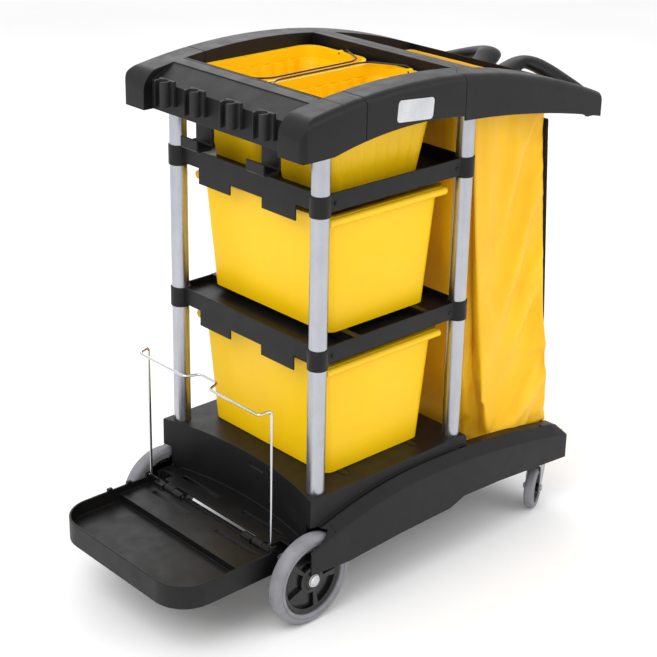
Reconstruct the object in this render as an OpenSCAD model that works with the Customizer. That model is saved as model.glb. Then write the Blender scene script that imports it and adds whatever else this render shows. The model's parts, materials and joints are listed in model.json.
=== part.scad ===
// Housekeeping cart: moulded base on two large wheels and two casters, four tube posts, two shelves,
// a three-piece hood with two buckets, two slide-out tubs, a slanted refuse bag and a fold-down platform.
// +X points to the handle, +Z up. The operator stands at the handle end, so "left" is the -Y side.

/* [Overall] */
// Width over the side rails of the hood
hood_w = 559; // [460:1:680]
// Distance between front and rear posts, centre to centre
post_span = 406; // [330:1:500]
// Height from one tier to the next (deck, middle shelf, upper shelf)
tier_h = 322; // [265:1:390]
// Rise from the upper shelf's rim to the crown of the hood
hood_rise = 198; // [170:1:240]

/* [Posts] */
// Outside diameter of the post tubes
post_d = 38.1; // [31:0.1:46]
// Wall of the post tubes
post_wall = 1.6; // [1.2:0.1:2.4]
// Distance from the hood's outer face to the centre line of a post
post_inset = 57.5; // [50:0.5:70]
// How far a tube goes into a shelf collar
collar_seat = 18; // [12:1:20]
// How far a tube goes up into the hood
hood_seat = 40; // [30:1:46]

/* [Wheels] */
// Diameter of the large wheels
wheel_d = 203.2; // [169:0.1:244]
// Width of the large wheels
wheel_w = 32; // [26:1:38]
// Diameter of the axle
axle_d = 16; // [12:0.5:20]
// Distance of the axle in front of the front posts
axle_lead = 41.5; // [36:0.5:46]
// Diameter of the caster wheels
caster_d = 101.6; // [85:0.1:104]
// Width of the caster wheels
caster_w = 25; // [20:1:30]
// Trail of the caster wheels behind their swivel axis
caster_trail = 28; // [22:1:32]
// Angle at which the casters stand at rest
caster_turn = 27; // [0:1:45]

/* [Base] */
// Height of the base's mounting plane above the axle
base_rise = 28.4; // [20:0.1:60]
// Wall of the moulded base
base_wall = 5; // [4:0.5:6]
// Reach of the base behind the middle of the posts
base_reach = 550; // [540:1:590]
// Rise of the deck above the mounting plane
deck_rise = 146; // [130:1:160]

/* [Shelves] */
// Wall of the shelves
shelf_wall = 4; // [3:0.5:5]
// Depth of a shelf's side apron
apron_h = 38; // [32:1:42]
// Extra depth of the two tabs on a shelf's front apron
tab_drop = 34; // [20:1:40]
// Height of a shelf collar
collar_h = 44; // [40:1:50]

/* [Tubs and buckets] */
// Height of the two tubs
tub_h = 258; // [215:1:275]
// Wall of the tubs and buckets
tub_wall = 3; // [2:0.5:4]
// Taper of a tub's long sides over its whole height
tub_draft = 9; // [4:1:12]
// Taper of a tub's short ends over its whole height
tub_rake = 24; // [20:1:27]
// Height of the buckets
bucket_h = 188; // [157:1:190]
// Taper of a bucket's long sides over its whole height
bucket_draft = 16; // [9:1:18]
// Taper of a bucket's short ends over its whole height
bucket_rake = 35; // [24:1:40]
// Diameter of the bail wire
bail_d = 4; // [3:0.5:5]
// Distance from a bail's ears to its crossbar
bail_reach = 96; // [80:1:104]

/* [Hood] */
// Wall of the hood mouldings
hood_wall = 4.5; // [3.5:0.5:6]
// Width of a side rail
rail_w = 72; // [64:1:76]
// Radius of the crown, seen from the side
crown_r = 1450; // [1300:10:1700]
// Reach of the hood in front of the middle of the posts
hood_front_reach = 301; // [295:1:330]
// Reach of the side rails behind the middle of the posts
hood_rear_reach = 577; // [565:1:600]
// Diameter of a tool handle that the grips hold
tool_d = 25; // [22:0.5:30]

/* [Handle] */
// Reach of the handle behind the middle of the posts
handle_reach = 612; // [600:1:640]
// Thickness of the handle bars
handle_t = 32; // [26:1:36]

/* [Platform] */
// Reach of the fold-down platform in front of the middle of the posts
platform_reach = 555; // [530:1:600]
// Width of the platform
platform_w = 430; // [360:1:440]
// Height of the platform's rim
platform_h = 52; // [44:1:56]
// Diameter of the platform's wire hoop
hoop_d = 6; // [5:0.5:7]
// Height of the wire hoop
hoop_h = 312; // [260:1:374]

/* [Bag] */
// Half width of the refuse bag
bag_half_w = 228; // [180:1:229]
// Wall of the bag
bag_wall = 2.4; // [2:0.2:4]

/* [Hidden] */
CORNERS = ["front_left", "front_right", "rear_left", "rear_right"];

black = "#2b2a2b";
yellow = "#f9c515";
silver = "#b9bbc3";
grey = "#8e8e92";
zinc = "#9aa0a2";
chrome = "#c9ccd0";

e = 0.01;            // overshoot of a cut
rest_gap = 0.3;      // gap between pieces that only rest on or slide past each other
fit_gap = 0.1;       // radial gap of a tube in its socket
run_gap = 0.05;      // radial gap of a running shaft

post_r = post_d / 2;
post_x = post_span / 2;
post_y = hood_w / 2 - post_inset;
half_w = hood_w / 2;

axle_z = wheel_d / 2;
axle_x = -post_x - axle_lead;
wheel_out = half_w - 11.5;            // outer face of a large wheel
wheel_mid = wheel_out - wheel_w / 2;
base_z = axle_z + base_rise;          // plane on which the casters are bolted
deck_z = base_z + deck_rise;
boss_z = deck_z - 6.5;                // shoulder on which the posts stand
mid_z = deck_z + tier_h;              // rim of the middle shelf
top_z = mid_z + tier_h;               // rim of the upper shelf
hood_top = top_z + hood_rise;
frame_x = (platform_reach - handle_reach) / 2;

module place() {
  translate([frame_x, 0, 0]) children();
}

// A cylinder from point to point along +Y
module rod_y(r, y0, y1, fn = 48) {
  translate([0, y0, 0]) rotate([-90, 0, 0]) cylinder(h = y1 - y0, r = r, $fn = fn);
}

module rod_x(r, x0, x1, fn = 48) {
  translate([x0, 0, 0]) rotate([0, 90, 0]) cylinder(h = x1 - x0, r = r, $fn = fn);
}

// A box from its low corner to its high corner
module block(lo, hi) {
  translate(lo) cube([hi[0] - lo[0], hi[1] - lo[1], hi[2] - lo[2]]);
}

// A side-view outline swept across the cart from y0 to y1
module slab_y(pts, y0, y1) {
  translate([0, y1, 0]) rotate([90, 0, 0]) linear_extrude(height = y1 - y0) polygon(pts);
}

function arc_pts(cx, cy, r, a0, a1, n) = [for (i = [0 : n]) let(a = a0 + (a1 - a0) * i / n)
  [cx + r * cos(a), cy + r * sin(a)]];

// Corner points of a rectangle with rounded corners, centred
function round_rect(lx, ly, r, n = 6) = concat(
  arc_pts(lx / 2 - r, ly / 2 - r, r, 0, 90, n), arc_pts(-lx / 2 + r, ly / 2 - r, r, 90, 180, n),
  arc_pts(-lx / 2 + r, -ly / 2 + r, r, 180, 270, n), arc_pts(lx / 2 - r, -ly / 2 + r, r, 270, 360, n));

module mirrored_y() {
  children();
  mirror([0, 1, 0]) children();
}

// ---------------------------------------------------------------- base

skirt_lead = 59;                      // skirt's front tip, in front of the front posts
ledge_lead = 83;                      // ledge's front edge, in front of the front posts
ledge_z = base_z + 36;
ledge_half = platform_w / 2 - 12;
strip_half = platform_w / 2 - 32;
shoulder = 20;                        // rise of the shoulder over its width
shoulder_w = 24;
arch_r = wheel_d / 2 + 9;             // wheel arch inside the base
bow_r = 785;                          // plan radius of the deck's hollow front wall
bow_x = -post_x + 4;                  // deepest point of that wall
deck_half = post_y + 26;
deck_back = post_x + 27;
bag_floor = base_z + 62;
boss_r = post_r + 1.4;
spigot_l = 42;
spigot_r = post_r - post_wall - fit_gap;
hanger_t = 10;
hanger_in = wheel_out - wheel_w - 1.5 - hanger_t;

// The skirt's upper edge, seen from the side, as an arc through its ends and its middle
function shoulder_z(x) = base_z + 105 - pow(x - 70, 2) / (x < 70 ? 1800 : 4150);

function skirt_top(rise, inset) = [for (i = [0 : 24])
  let(x = -post_x - skirt_lead + inset + (base_reach + post_x + skirt_lead - 2 * inset) * i / 24)
  [x, shoulder_z(x) + rise]];

module base_body(grow) {
  front = -post_x - skirt_lead - grow;
  back = base_reach + grow;
  low = base_z - 30;
  hull() {
    slab_y(concat([[back, low], [front, low]], skirt_top(grow, -grow)), -half_w - grow, half_w + grow);
    slab_y(concat([[back - 14, low], [front, low]], [for (p = skirt_top(shoulder + grow, -grow)) [min(p[0],
        back - 14), p[1]]]),
           -half_w + shoulder_w - grow, half_w - shoulder_w + grow);
  }
}

// Everything below the skirt's lower edge
module under_skirt() {
  x0 = -post_x - skirt_lead;
  step_x = post_x - 50;
  slab_y([[x0 - 50, -e], [x0 - 50, base_z - 4], [x0 + 4, base_z - 6], [x0 + 108, base_z - 13],
          [x0 + 257, base_z - 5], [step_x, base_z - 2], [step_x + 44, base_z + 13], [step_x + 160,
              base_z + 9],
          [base_reach - 80, base_z - 4], [base_reach + 50, base_z - 14], [base_reach + 50, -e]],
         -half_w - 50, half_w + 50);
}

module deck_block(grow) {
  difference() {
    slab_y([[-post_x - 40, base_z + 36], [deck_back + grow, base_z + 36], [deck_back + grow,
        deck_z - 8 + grow],
            [deck_back - 8, deck_z + grow], [-post_x - 40, deck_z + grow]], -deck_half - grow,
                deck_half + grow);
    bow(grow < 0 ? base_wall : 0);
  }
}

// The round column whose side is the bowed wall, moved back by depth
module bow(depth) {
  translate([bow_x - bow_r + depth, 0, 0]) cylinder(h = hood_top, r = bow_r, $fn = 240);
}

module at_posts() {
  for (sx = [-1, 1]) for (sy = [-1, 1]) translate([sx * post_x, sy * post_y, 0]) children();
}

module wheel_well(r, y0, y1) {
  translate([axle_x, 0, axle_z]) rod_y(r, y0, y1, 96);
}

module base_shell() {
  difference() {
    union() {
      base_body(0);
      deck_block(0);
    }
    difference() {
      union() {
        base_body(-base_wall);
        deck_block(-base_wall);
      }
      // walls that stay inside: the two wheel wells, the ledge's root and the bowed wall behind it
      mirrored_y() wheel_well(arch_r + base_wall, -half_w, -wheel_out + wheel_w + 9 + base_wall);
      block([-post_x - 30, -ledge_half, ledge_z - base_wall], [bow_x + base_wall, ledge_half, ledge_z]);
      difference() {
        intersection() {
          block([-post_x - 60, -deck_half, ledge_z - base_wall], [post_x, deck_half, deck_z]);
          bow(base_wall);
        }
        bow(0);
      }
    }
    under_skirt();
    mirrored_y() wheel_well(arch_r, -half_w + base_wall, -wheel_out + wheel_w + 9);
    // open front between the wheels, above the ledge, back to the bowed wall
    intersection() {
      block([-post_x - 100, -deck_half, ledge_z], [post_x, deck_half, deck_z + 60]);
      bow(0);
    }
    block([-post_x - 100, -ledge_half, 0], [-post_x - 30, ledge_half, ledge_z]);
    // floor of the bag well
    block([deck_back + 1, -bag_half_w - 4, bag_floor], [base_reach - 9, bag_half_w + 4, deck_z]);
    block([deck_back + 40, -60, base_z], [base_reach - 60, 60, bag_floor - base_wall]);
  }
}

module base() {
  color(black) difference() {
    union() {
      base_shell();
      difference() {
        union() {
          // bag well floor
          block([deck_back - 4, -bag_half_w - 8, bag_floor - base_wall], [base_reach - 6, bag_half_w + 8,
              bag_floor]);
          // caster pads
          mirrored_y() block([caster_x - 42, -caster_y - 34, base_z], [caster_x + 40, -caster_y + 34,
              bag_floor - base_wall + e]);
        }
        mirrored_y() block([caster_x - 37, -caster_y - 29, base_z + 6], [caster_x + 35, -caster_y + 29,
            bag_floor - base_wall]);
      }
      // ledge in front of the bowed wall, with a narrower front strip that the folded platform clears
      block([-post_x - skirt_lead, -ledge_half, ledge_z - base_wall], [bow_x + base_wall, ledge_half,
          ledge_z]);
      block([-post_x - ledge_lead, -strip_half, ledge_z - base_wall], [-post_x - skirt_lead + 1, strip_half,
          ledge_z]);
      block([-post_x - 34, -ledge_half, base_z - 4], [-post_x - 30, ledge_half, ledge_z - base_wall + e]);
      mirrored_y() block([-post_x - ledge_lead + 3, -strip_half, ledge_z - 34], [-post_x - 30,
          -strip_half + 5, ledge_z]);
      // post bosses, cut back where the wheels turn
      difference() {
        at_posts() translate([0, 0, ledge_z - base_wall]) cylinder(h = boss_z - ledge_z + base_wall,
            r = boss_r, $fn = 64);
        mirrored_y() wheel_well(arch_r, -half_w, -wheel_out + wheel_w + 9);
      }
      at_posts() translate([0, 0, boss_z - base_wall]) cylinder(h = spigot_l + base_wall, r = spigot_r,
          $fn = 64);
      // tub runners on the deck
      for (sx = [-1, 1]) block([sx * tub_rail_x - 9, -post_y + 10, deck_z - e], [sx * tub_rail_x + 9,
          post_y - 10, deck_z + 1]);
      // axle hangers
      mirrored_y() slab_y([[axle_x - 24, axle_z - 4], [axle_x - 12, axle_z - 22], [axle_x + 12,
          axle_z - 22], [axle_x + 34, axle_z + 4],
                [axle_x + 40, ledge_z + 20], [axle_x + 12, ledge_z + 20], [axle_x + 12,
                    ledge_z - base_wall],
                [axle_x - 24, ledge_z - base_wall]], -hanger_in - hanger_t, -hanger_in);
      // platform hinge knuckles
      for (y0 = knuckle_y) translate([hinge_x, 0, hinge_z]) rod_y(knuckle_r, y0, y0 + knuckle_l);
      for (y0 = knuckle_y) block([hinge_x, y0, hinge_z - knuckle_r], [hinge_x + knuckle_r + 6,
          y0 + knuckle_l, ledge_z]);
    }
    // seats of the post tubes in the deck, around the spigots
    at_posts() difference() {
      translate([0, 0, boss_z]) cylinder(h = spigot_l, r = post_r + fit_gap, $fn = 64);
      translate([0, 0, boss_z - 1]) cylinder(h = spigot_l + 2, r = spigot_r, $fn = 64);
    }
    // axle bore
    translate([axle_x, 0, axle_z]) rod_y(axle_d / 2 + fit_gap, -half_w, half_w);
    // hinge pin bores
    translate([hinge_x, 0, hinge_z]) rod_y(hinge_pin_r + run_gap, -half_w, half_w);
    // caster bolt holes
    for (sy = [-1, 1]) translate([caster_x, sy * caster_y, 0]) bolt_places() cylinder(h = 400,
        r = bolt_r + fit_gap, $fn = 24);
    // two slots in the ledge and a small recess in the bowed wall
    for (sy = [-1, 1]) for (dy = [46, 160]) translate([-post_x - 44, sy * dy, ledge_z - 20])
        cylinder(h = 30, r = 5, $fn = 32);
    for (sy = [-1, 1]) block([-post_x - 49, min(sy * 46, sy * 160), ledge_z - 20], [-post_x - 39,
        max(sy * 46, sy * 160), ledge_z + 10]);
    translate([bow_x - 7.7, -52, boss_z - 22]) rotate([0, 0, -2]) cube([9, 44, 11]);
  }
}

// ---------------------------------------------------------------- wheels

hub_r = wheel_d / 2 * 0.76;
hub_rim = 5;
axle_end = wheel_out + 3.5;

module axle() {
  color(zinc) translate([axle_x, 0, axle_z]) rod_y(axle_d / 2, -axle_end, axle_end);
}

module axle_caps() {
  color(chrome) for (s = [-1, 1]) translate([axle_x, 0, axle_z]) mirror([0, s > 0 ? 1 : 0, 0]) difference()
      {
    translate([0, -axle_end - 3, 0]) rotate([-90, 0, 0]) rotate_extrude($fn = 64) polygon([
      [0, 0], [7, 0], [8.6, 0.8], [9, 2], [12.5, 2.8], [12.5, 4], [9, 5], [0, 5]]);
    rod_y(axle_d / 2 + fit_gap, -axle_end - fit_gap, 0);
  }
}

module wheel_tyre(s) {
  hw = wheel_w / 2;
  color(grey) translate([axle_x, s * wheel_mid, axle_z]) rotate([90, 0, 0]) rotate_extrude($fn = 128)
      polygon(concat(
    [[hub_r, -hw + 3], [hub_r, hw - 3]],
    arc_pts(hub_r + 4, hw - 4, 4, 180, 90, 3),
    arc_pts(wheel_d / 2 - 13, hw - 13, 13, 90, 15, 5),
    [[wheel_d / 2 - 1.2, 2.6], [wheel_d / 2, 0], [wheel_d / 2 - 1.2, -2.6]],
    arc_pts(wheel_d / 2 - 13, -hw + 13, 13, -15, -90, 5),
    arc_pts(hub_r + 4, -hw + 4, 4, -90, -180, 3)));
}

module wheel_hub(s) {
  hw = wheel_w / 2;
  spokes = 7;
  color(black) translate([axle_x, s * wheel_mid, axle_z]) rotate([90, 0, 0]) difference() {
    union() {
      difference() {
        translate([0, 0, -hw + 5]) cylinder(h = wheel_w - 10, r = hub_r, $fn = 128);
        translate([0, 0, -hw]) cylinder(h = wheel_w, r = hub_r - hub_rim, $fn = 96);
      }
      translate([0, 0, -hw]) cylinder(h = wheel_w, r = axle_d / 2 + 11, $fn = 64);
      translate([0, 0, -2.5]) cylinder(h = 5, r = hub_r - 1, $fn = 96);
      for (i = [0 : spokes - 1]) rotate([0, 0, 360 / spokes * (i + 0.5)])
        translate([axle_d / 2 + 9, -4, -hw + 7]) cube([hub_r - axle_d / 2 - 12, 8, wheel_w - 14]);
    }
    cylinder(h = wheel_w + 2, r = axle_d / 2 + 3, center = true, $fn = 64);
    for (i = [0 : spokes - 1]) rotate([0, 0, 360 / spokes * i]) translate([hub_r * 0.62, 0, 0])
      cylinder(h = wheel_w, r = hub_r * 0.15, center = true, $fn = 32);
  }
}

// A flanged bush pressed in from each side of the hub
module wheel_bushes(s) {
  hw = wheel_w / 2;
  color("#d8d4c8") translate([axle_x, s * wheel_mid, axle_z]) rotate([90, 0, 0]) for (f = [0, 1]) mirror([0,
      0, f])
    difference() {
      union() {
        translate([0, 0, hw - 12]) cylinder(h = 12, r = axle_d / 2 + 3, $fn = 64);
        translate([0, 0, hw]) cylinder(h = 1, r = axle_d / 2 + 6, $fn = 64);
      }
      translate([0, 0, hw - 13]) cylinder(h = 16, r = axle_d / 2 + run_gap, $fn = 64);
    }
}

// ---------------------------------------------------------------- casters

caster_x = base_reach - 45;
caster_y = post_y + 10;
plate_l = 72;
plate_w = 60;
plate_t = 3;
bolt_gap = [54, 42];
bolt_r = 3;
race_h = 8;
race_r = 24;
fork_t = 2.5;
fork_top = base_z - plate_t - race_h;
fork_in = caster_w / 2 + 2.5;         // inner face of a fork arm
caster_z = caster_d / 2;
kingpin_r = 5;
caster_bolt_r = 4;

module bolt_places() {
  for (i = [-1, 1]) for (j = [-1, 1]) translate([i * bolt_gap[0] / 2, j * bolt_gap[1] / 2, 0]) children();
}

// Places a caster piece on its stem; the right one is the mirror image of the left
module at_stem(s) {
  mirror([0, s > 0 ? 1 : 0, 0]) translate([caster_x, -caster_y, 0]) children();
}

// The frame that swivels: the wheel trails to -X of the stem before it is turned
module swivel(s) {
  at_stem(s) rotate([0, 0, caster_turn]) children();
}

module caster_plate(s) {
  color(zinc) at_stem(s) difference() {
    union() {
      translate([-plate_l / 2, -plate_w / 2, base_z - plate_t]) cube([plate_l, plate_w, plate_t]);
      translate([0, 0, fork_top - fork_t - 3]) cylinder(h = race_h + plate_t + fork_t + 2, r = kingpin_r,
          $fn = 32);
      translate([0, 0, fork_top - fork_t - 5]) cylinder(h = 4, r = kingpin_r + 3, $fn = 32);
    }
    translate([0, 0, base_z - 10]) bolt_places() cylinder(h = 20, r = bolt_r + fit_gap, $fn = 24);
  }
}

module caster_race(s) {
  bore = kingpin_r + run_gap;
  color(zinc) swivel(s) translate([0, 0, fork_top]) rotate_extrude($fn = 64)
    polygon([[bore, 0], [race_r - 4, 0], [race_r, 3], [race_r, race_h - rest_gap], [bore,
        race_h - rest_gap]]);
}

module caster_fork(s) {
  arm = [[-caster_trail - 10, caster_z - 4], [-caster_trail - 4, caster_z - 11], [-caster_trail + 4,
      caster_z - 11],
         [-caster_trail + 11, caster_z - 3], [race_r - 1, fork_top - 14], [race_r - 1, fork_top],
         [-race_r - 2, fork_top], [-race_r - 4, fork_top - 12]];
  color(zinc) swivel(s) difference() {
    union() {
      for (sy = [-1, 1]) slab_y(arm, sy > 0 ? fork_in : -fork_in - fork_t,
          sy > 0 ? fork_in + fork_t : -fork_in);
      block([-race_r - 2, -fork_in - fork_t, fork_top - fork_t], [race_r - 1, fork_in + fork_t, fork_top]);
    }
    translate([0, 0, fork_top - 20]) cylinder(h = 30, r = kingpin_r + run_gap, $fn = 32);
    translate([-caster_trail, 0, caster_z]) rod_y(caster_bolt_r + fit_gap, -60, 60, 32);
  }
}

module caster_axle_bolt(s) {
  end = fork_in + fork_t;
  color(zinc) swivel(s) translate([-caster_trail, 0, caster_z]) {
    rod_y(caster_bolt_r, -end - 1, end + 6, 32);
    translate([0, -end - 4, 0]) rotate([-90, 0, 0]) cylinder(h = 4, r = 7, $fn = 6);
    translate([0, end, 0]) rotate([-90, 0, 0]) cylinder(h = 5, r = 7, $fn = 6);
  }
}

module caster_hub(s) {
  color(black) swivel(s) translate([-caster_trail, 0, caster_z]) rotate([90, 0, 0]) difference() {
    union() {
      cylinder(h = caster_w + 3.5, r = 10, center = true, $fn = 48);
      rotate_extrude($fn = 96) polygon([[8, -4], [caster_d / 2 - 18, -3], [caster_d / 2 - 16,
          -caster_w / 2 + 4],
        [caster_d / 2 - 12, -caster_w / 2 + 4], [caster_d / 2 - 12, caster_w / 2 - 4], [caster_d / 2 - 16,
            caster_w / 2 - 4],
        [caster_d / 2 - 18, 3], [8, 4]]);
    }
    cylinder(h = caster_w + 10, r = caster_bolt_r + run_gap, center = true, $fn = 48);
  }
}

module caster_tyre(s) {
  hw = caster_w / 2;
  in = caster_d / 2 - 12;
  color(grey) swivel(s) translate([-caster_trail, 0, caster_z]) rotate([90, 0, 0]) rotate_extrude($fn = 96)
      polygon(concat(
    [[in, -hw + 3], [in, hw - 3]], arc_pts(in + 3, hw - 3, 3, 180, 90, 2),
    arc_pts(caster_d / 2 - 9, hw - 9, 9, 90, 0, 6), arc_pts(caster_d / 2 - 9, -hw + 9, 9, 0, -90, 6),
    arc_pts(in + 3, -hw + 3, 3, -90, -180, 2)));
}

module caster_bolts() {
  color(zinc) for (s = [-1, 1]) at_stem(s) bolt_places() {
    translate([0, 0, base_z - plate_t - 4]) cylinder(h = 4, r = 5, $fn = 6);
    translate([0, 0, base_z - plate_t - 1]) cylinder(h = plate_t + 12, r = bolt_r, $fn = 24);
    translate([0, 0, base_z + 6]) cylinder(h = 4, r = 5, $fn = 6);
  }
}

// ---------------------------------------------------------------- platform

hinge_x = -post_x - ledge_lead - 9;
hinge_z = base_z + 26;
hinge_pin_r = 4;
knuckle_r = 9;
knuckle_l = 30;
knuckle_y = [-165, 135];
platform_low = hinge_z - 38;
platform_back = hinge_x - 2;
platform_wall = 4.5;
front_round = 76;
hoop_x = hinge_x - 12;
hoop_z = hinge_z + 18;
hoop_y = platform_w / 2 - 12;
hoop_lean = 28;

// Plan outline of the tray, with two large front corners
function tray_pts(in) = let(h = platform_w / 2 - in, f = -platform_reach + in, b = platform_back - in,
    r = front_round - in)
  concat([[b, -h], [b, h]], arc_pts(f + r, h - r, r, 90, 180, 10), arc_pts(f + r, -h + r, r, 180, 270, 10));

module tray(in, z0, z1) {
  translate([0, 0, z0]) linear_extrude(height = z1 - z0) polygon(tray_pts(in));
}

module platform() {
  step_x = platform_back - 88;
  high = platform_low + platform_h;
  floor_z = platform_low + 16;
  step_z = platform_low + 36;
  color(black) difference() {
    union() {
      difference() {
        tray(0, platform_low, high);
        difference() {
          tray(platform_wall, platform_low - e, high + e);
          block([-platform_reach - 1, -platform_w, floor_z], [step_x, platform_w, floor_z + platform_wall]);
          block([step_x - platform_wall, -platform_w, floor_z], [step_x, platform_w, step_z]);
          block([step_x - platform_wall, -platform_w, step_z - platform_wall], [platform_back, platform_w,
              step_z]);
        }
        // open back above the step, and room for the base's knuckles
        block([platform_back - 20, -hoop_y + 16, step_z], [platform_back + 1, hoop_y - 16, high + 1]);
      }
      // hinge knuckles, one on each side of each of the base's knuckles
      for (y0 = knuckle_y) for (d = [-knuckle_l - 1, knuckle_l + 1]) {
        translate([hinge_x, 0, hinge_z]) rod_y(knuckle_r, y0 + d, y0 + d + knuckle_l);
        block([hinge_x - 12, y0 + d, hinge_z - knuckle_r], [hinge_x, y0 + d + knuckle_l,
            hinge_z + knuckle_r - 2]);
      }
      // ears that hold the feet of the wire hoop
      mirrored_y() block([hoop_x - 9, -platform_w / 2, step_z - 2], [hoop_x + 6, -hoop_y - 6.5,
          hoop_z + 8]);
      // lugs on the left rim
      for (x = [platform_back - 60, platform_back - 112]) block([x - 12, platform_w / 2 - 8, high - 1], [x,
          platform_w / 2, high + 7]);
    }
    for (y0 = knuckle_y) translate([hinge_x, 0, hinge_z]) rod_y(knuckle_r + 1, y0 - 1, y0 + knuckle_l + 1);
    translate([hinge_x, 0, hinge_z]) rod_y(hinge_pin_r + fit_gap, -platform_w, platform_w);
    translate([hoop_x, 0, hoop_z]) rod_y(hoop_d / 2 + run_gap, -platform_w, platform_w);
    // two long slots in the step
    for (sy = [-1, 1]) block([platform_back - 34, min(sy * 48, sy * 172), step_z - 20], [platform_back - 24,
        max(sy * 48, sy * 172), step_z + 1]);
  }
}

module platform_hinge_pins() {
  color(zinc) for (y0 = knuckle_y) translate([hinge_x, 0, hinge_z])
    rod_y(hinge_pin_r, y0 - knuckle_l - 1, y0 + 2 * knuckle_l + 1);
}

// Wire hoop: two bent feet, two legs, a forward lean at the top and a notch in the middle
module platform_wire() {
  r = hoop_d / 2;
  top = hoop_z + hoop_h;
  notch = 29;
  deep = 31;
  path = [[hoop_x, -hoop_y - 11, hoop_z], [hoop_x, -hoop_y, hoop_z], [hoop_x, -hoop_y, top],
          [hoop_x - hoop_lean, -hoop_y + 6, top - 3], [hoop_x - hoop_lean, -notch - 12, top - 3],
          [hoop_x - hoop_lean + deep, -notch, top - 3], [hoop_x - hoop_lean + deep, notch, top - 3],
          [hoop_x - hoop_lean, notch + 12, top - 3], [hoop_x - hoop_lean, hoop_y - 6, top - 3],
          [hoop_x, hoop_y, top], [hoop_x, hoop_y, hoop_z], [hoop_x, hoop_y + 11, hoop_z]];
  color(chrome) {
    wire(path, r - pin_step, 8);
    mirrored_y() translate([hoop_x, 0, hoop_z]) rod_y(r, -hoop_y - 12, -hoop_y - 6, 32);
  }
}

function unit(v) = v / norm(v);
wire_sides = 10;
pin_step = 0.08;                      // a wire's round pin ends are this much thicker than its swept part
wire_ref = unit([0.6, 0.35, 0.7]);    // a direction that no wire runs along

// A path with each inner corner rounded by a curve of four points
function bent(path, cut) = concat([path[0]],
  [for (i = [1 : len(path) - 2]) let(p = path[i], c = min(cut, norm(p - path[i - 1]) / 2.2,
      norm(path[i + 1] - p) / 2.2),
     a = p - unit(p - path[i - 1]) * c, b = p + unit(path[i + 1] - p) * c)
     for (t = [0 : 1 / 3 : 1]) (1 - t) * (1 - t) * a + 2 * t * (1 - t) * p + t * t * b],
  [path[len(path) - 1]]);

function tangent(q, i) = unit(q[min(i + 1, len(q) - 1)] - q[max(i - 1, 0)]);

// A bent wire, swept along its rounded path
module wire(path, r, cut) {
  q = bent(path, cut);
  n = wire_sides;
  last = len(q) - 1;
  pts = [for (i = [0 : last]) let(t = tangent(q, i), u = unit(cross(t, wire_ref)), v = cross(t, u))
    for (k = [0 : n - 1]) q[i] + r * (cos(360 * k / n) * u + sin(360 * k / n) * v)];
  polyhedron(points = pts, faces = concat(
    [[for (k = [0 : n - 1]) k]], [[for (k = [n - 1 : -1 : 0]) last * n + k]],
    [for (i = [0 : last - 1]) for (k = [0 : n - 1])
      [i * n + k, (i + 1) * n + k, (i + 1) * n + (k + 1) % n, i * n + (k + 1) % n]]));
}

// ---------------------------------------------------------------- posts

module tube(sx, sy, z0, z1) {
  color(silver) translate([sx * post_x, sy * post_y, z0]) difference() {
    cylinder(h = z1 - z0, r = post_r, $fn = 64);
    translate([0, 0, -1]) cylinder(h = z1 - z0 + 2, r = post_r - post_wall, $fn = 64);
  }
}

module post(tier, sx, sy) {
  if (tier == "lower") tube(sx, sy, boss_z, mid_z - collar_h + collar_seat);
  if (tier == "middle") tube(sx, sy, mid_z - collar_seat, top_z - collar_h + collar_seat);
  if (tier == "upper") tube(sx, sy, top_z - collar_seat, hood_low(0) + hood_seat);
}

// ---------------------------------------------------------------- shelves

shelf_half_x = post_x + 2;
shelf_half_y = post_y + 10;
collar_r = post_r + 2.6;
tab_half = post_y - 70;
tub_rail_x = post_x * 0.5;
screw_r = 2.5;
screw_dx = 32;

module shelf(rim_z, floor_drop, rails) {
  low = rim_z - apron_h;
  floor_z = rim_z - floor_drop;
  color(black) difference() {
    union() {
      difference() {
        block([-shelf_half_x, -shelf_half_y, low], [shelf_half_x, shelf_half_y, rim_z]);
        difference() {
          block([-shelf_half_x + shelf_wall, -shelf_half_y + shelf_wall, low - 1],
              [shelf_half_x - shelf_wall, shelf_half_y - shelf_wall, rim_z + 1]);
          block([-shelf_half_x, -shelf_half_y, floor_z - shelf_wall], [shelf_half_x, shelf_half_y,
              floor_z]);
        }
      }
      // deeper front apron with two tabs
      block([-shelf_half_x, -tab_half, low - 12], [-shelf_half_x + shelf_wall, tab_half, low + 1]);
      mirrored_y() block([-shelf_half_x, -tab_half, low - tab_drop], [-shelf_half_x + shelf_wall, -50,
          low]);
      if (rails) for (sx = [-1, 1]) block([sx * tub_rail_x - 9, -shelf_half_y, floor_z - 1],
          [sx * tub_rail_x + 9, shelf_half_y, rim_z + 1]);
      for (sx = [-1, 1]) for (sy = [-1, 1]) translate([sx * post_x, sy * post_y, rim_z - collar_h])
        cylinder(h = collar_h, r = collar_r, $fn = 64);
      for (sx = [-1, 1]) for (sy = [-1, 1]) block([sx * (post_x - screw_dx) - 7,
          sy > 0 ? shelf_half_y - 16 : -shelf_half_y, low + 10],
                                                  [sx * (post_x - screw_dx) + 7,
                                                      sy > 0 ? shelf_half_y : -shelf_half_y + 16,
                                                      low + 24]);
    }
    for (sx = [-1, 1]) for (sy = [-1, 1]) translate([sx * post_x, sy * post_y, 0]) {
      translate([0, 0, rim_z - collar_seat]) cylinder(h = collar_seat + 20, r = post_r + fit_gap, $fn = 64);
      translate([0, 0, rim_z - collar_h - 20]) cylinder(h = collar_seat + 20, r = post_r + fit_gap,
          $fn = 64);
    }
    for (sx = [-1, 1]) translate([sx * (post_x - screw_dx), 0, low + 17]) {
      rod_y(screw_r + fit_gap, -shelf_half_y - 1, -shelf_half_y + 14, 24);
      rod_y(screw_r + fit_gap, shelf_half_y - 14, shelf_half_y + 1, 24);
    }
  }
}

module middle_shelf() {
  shelf(mid_z, 16, true);
}

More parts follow.
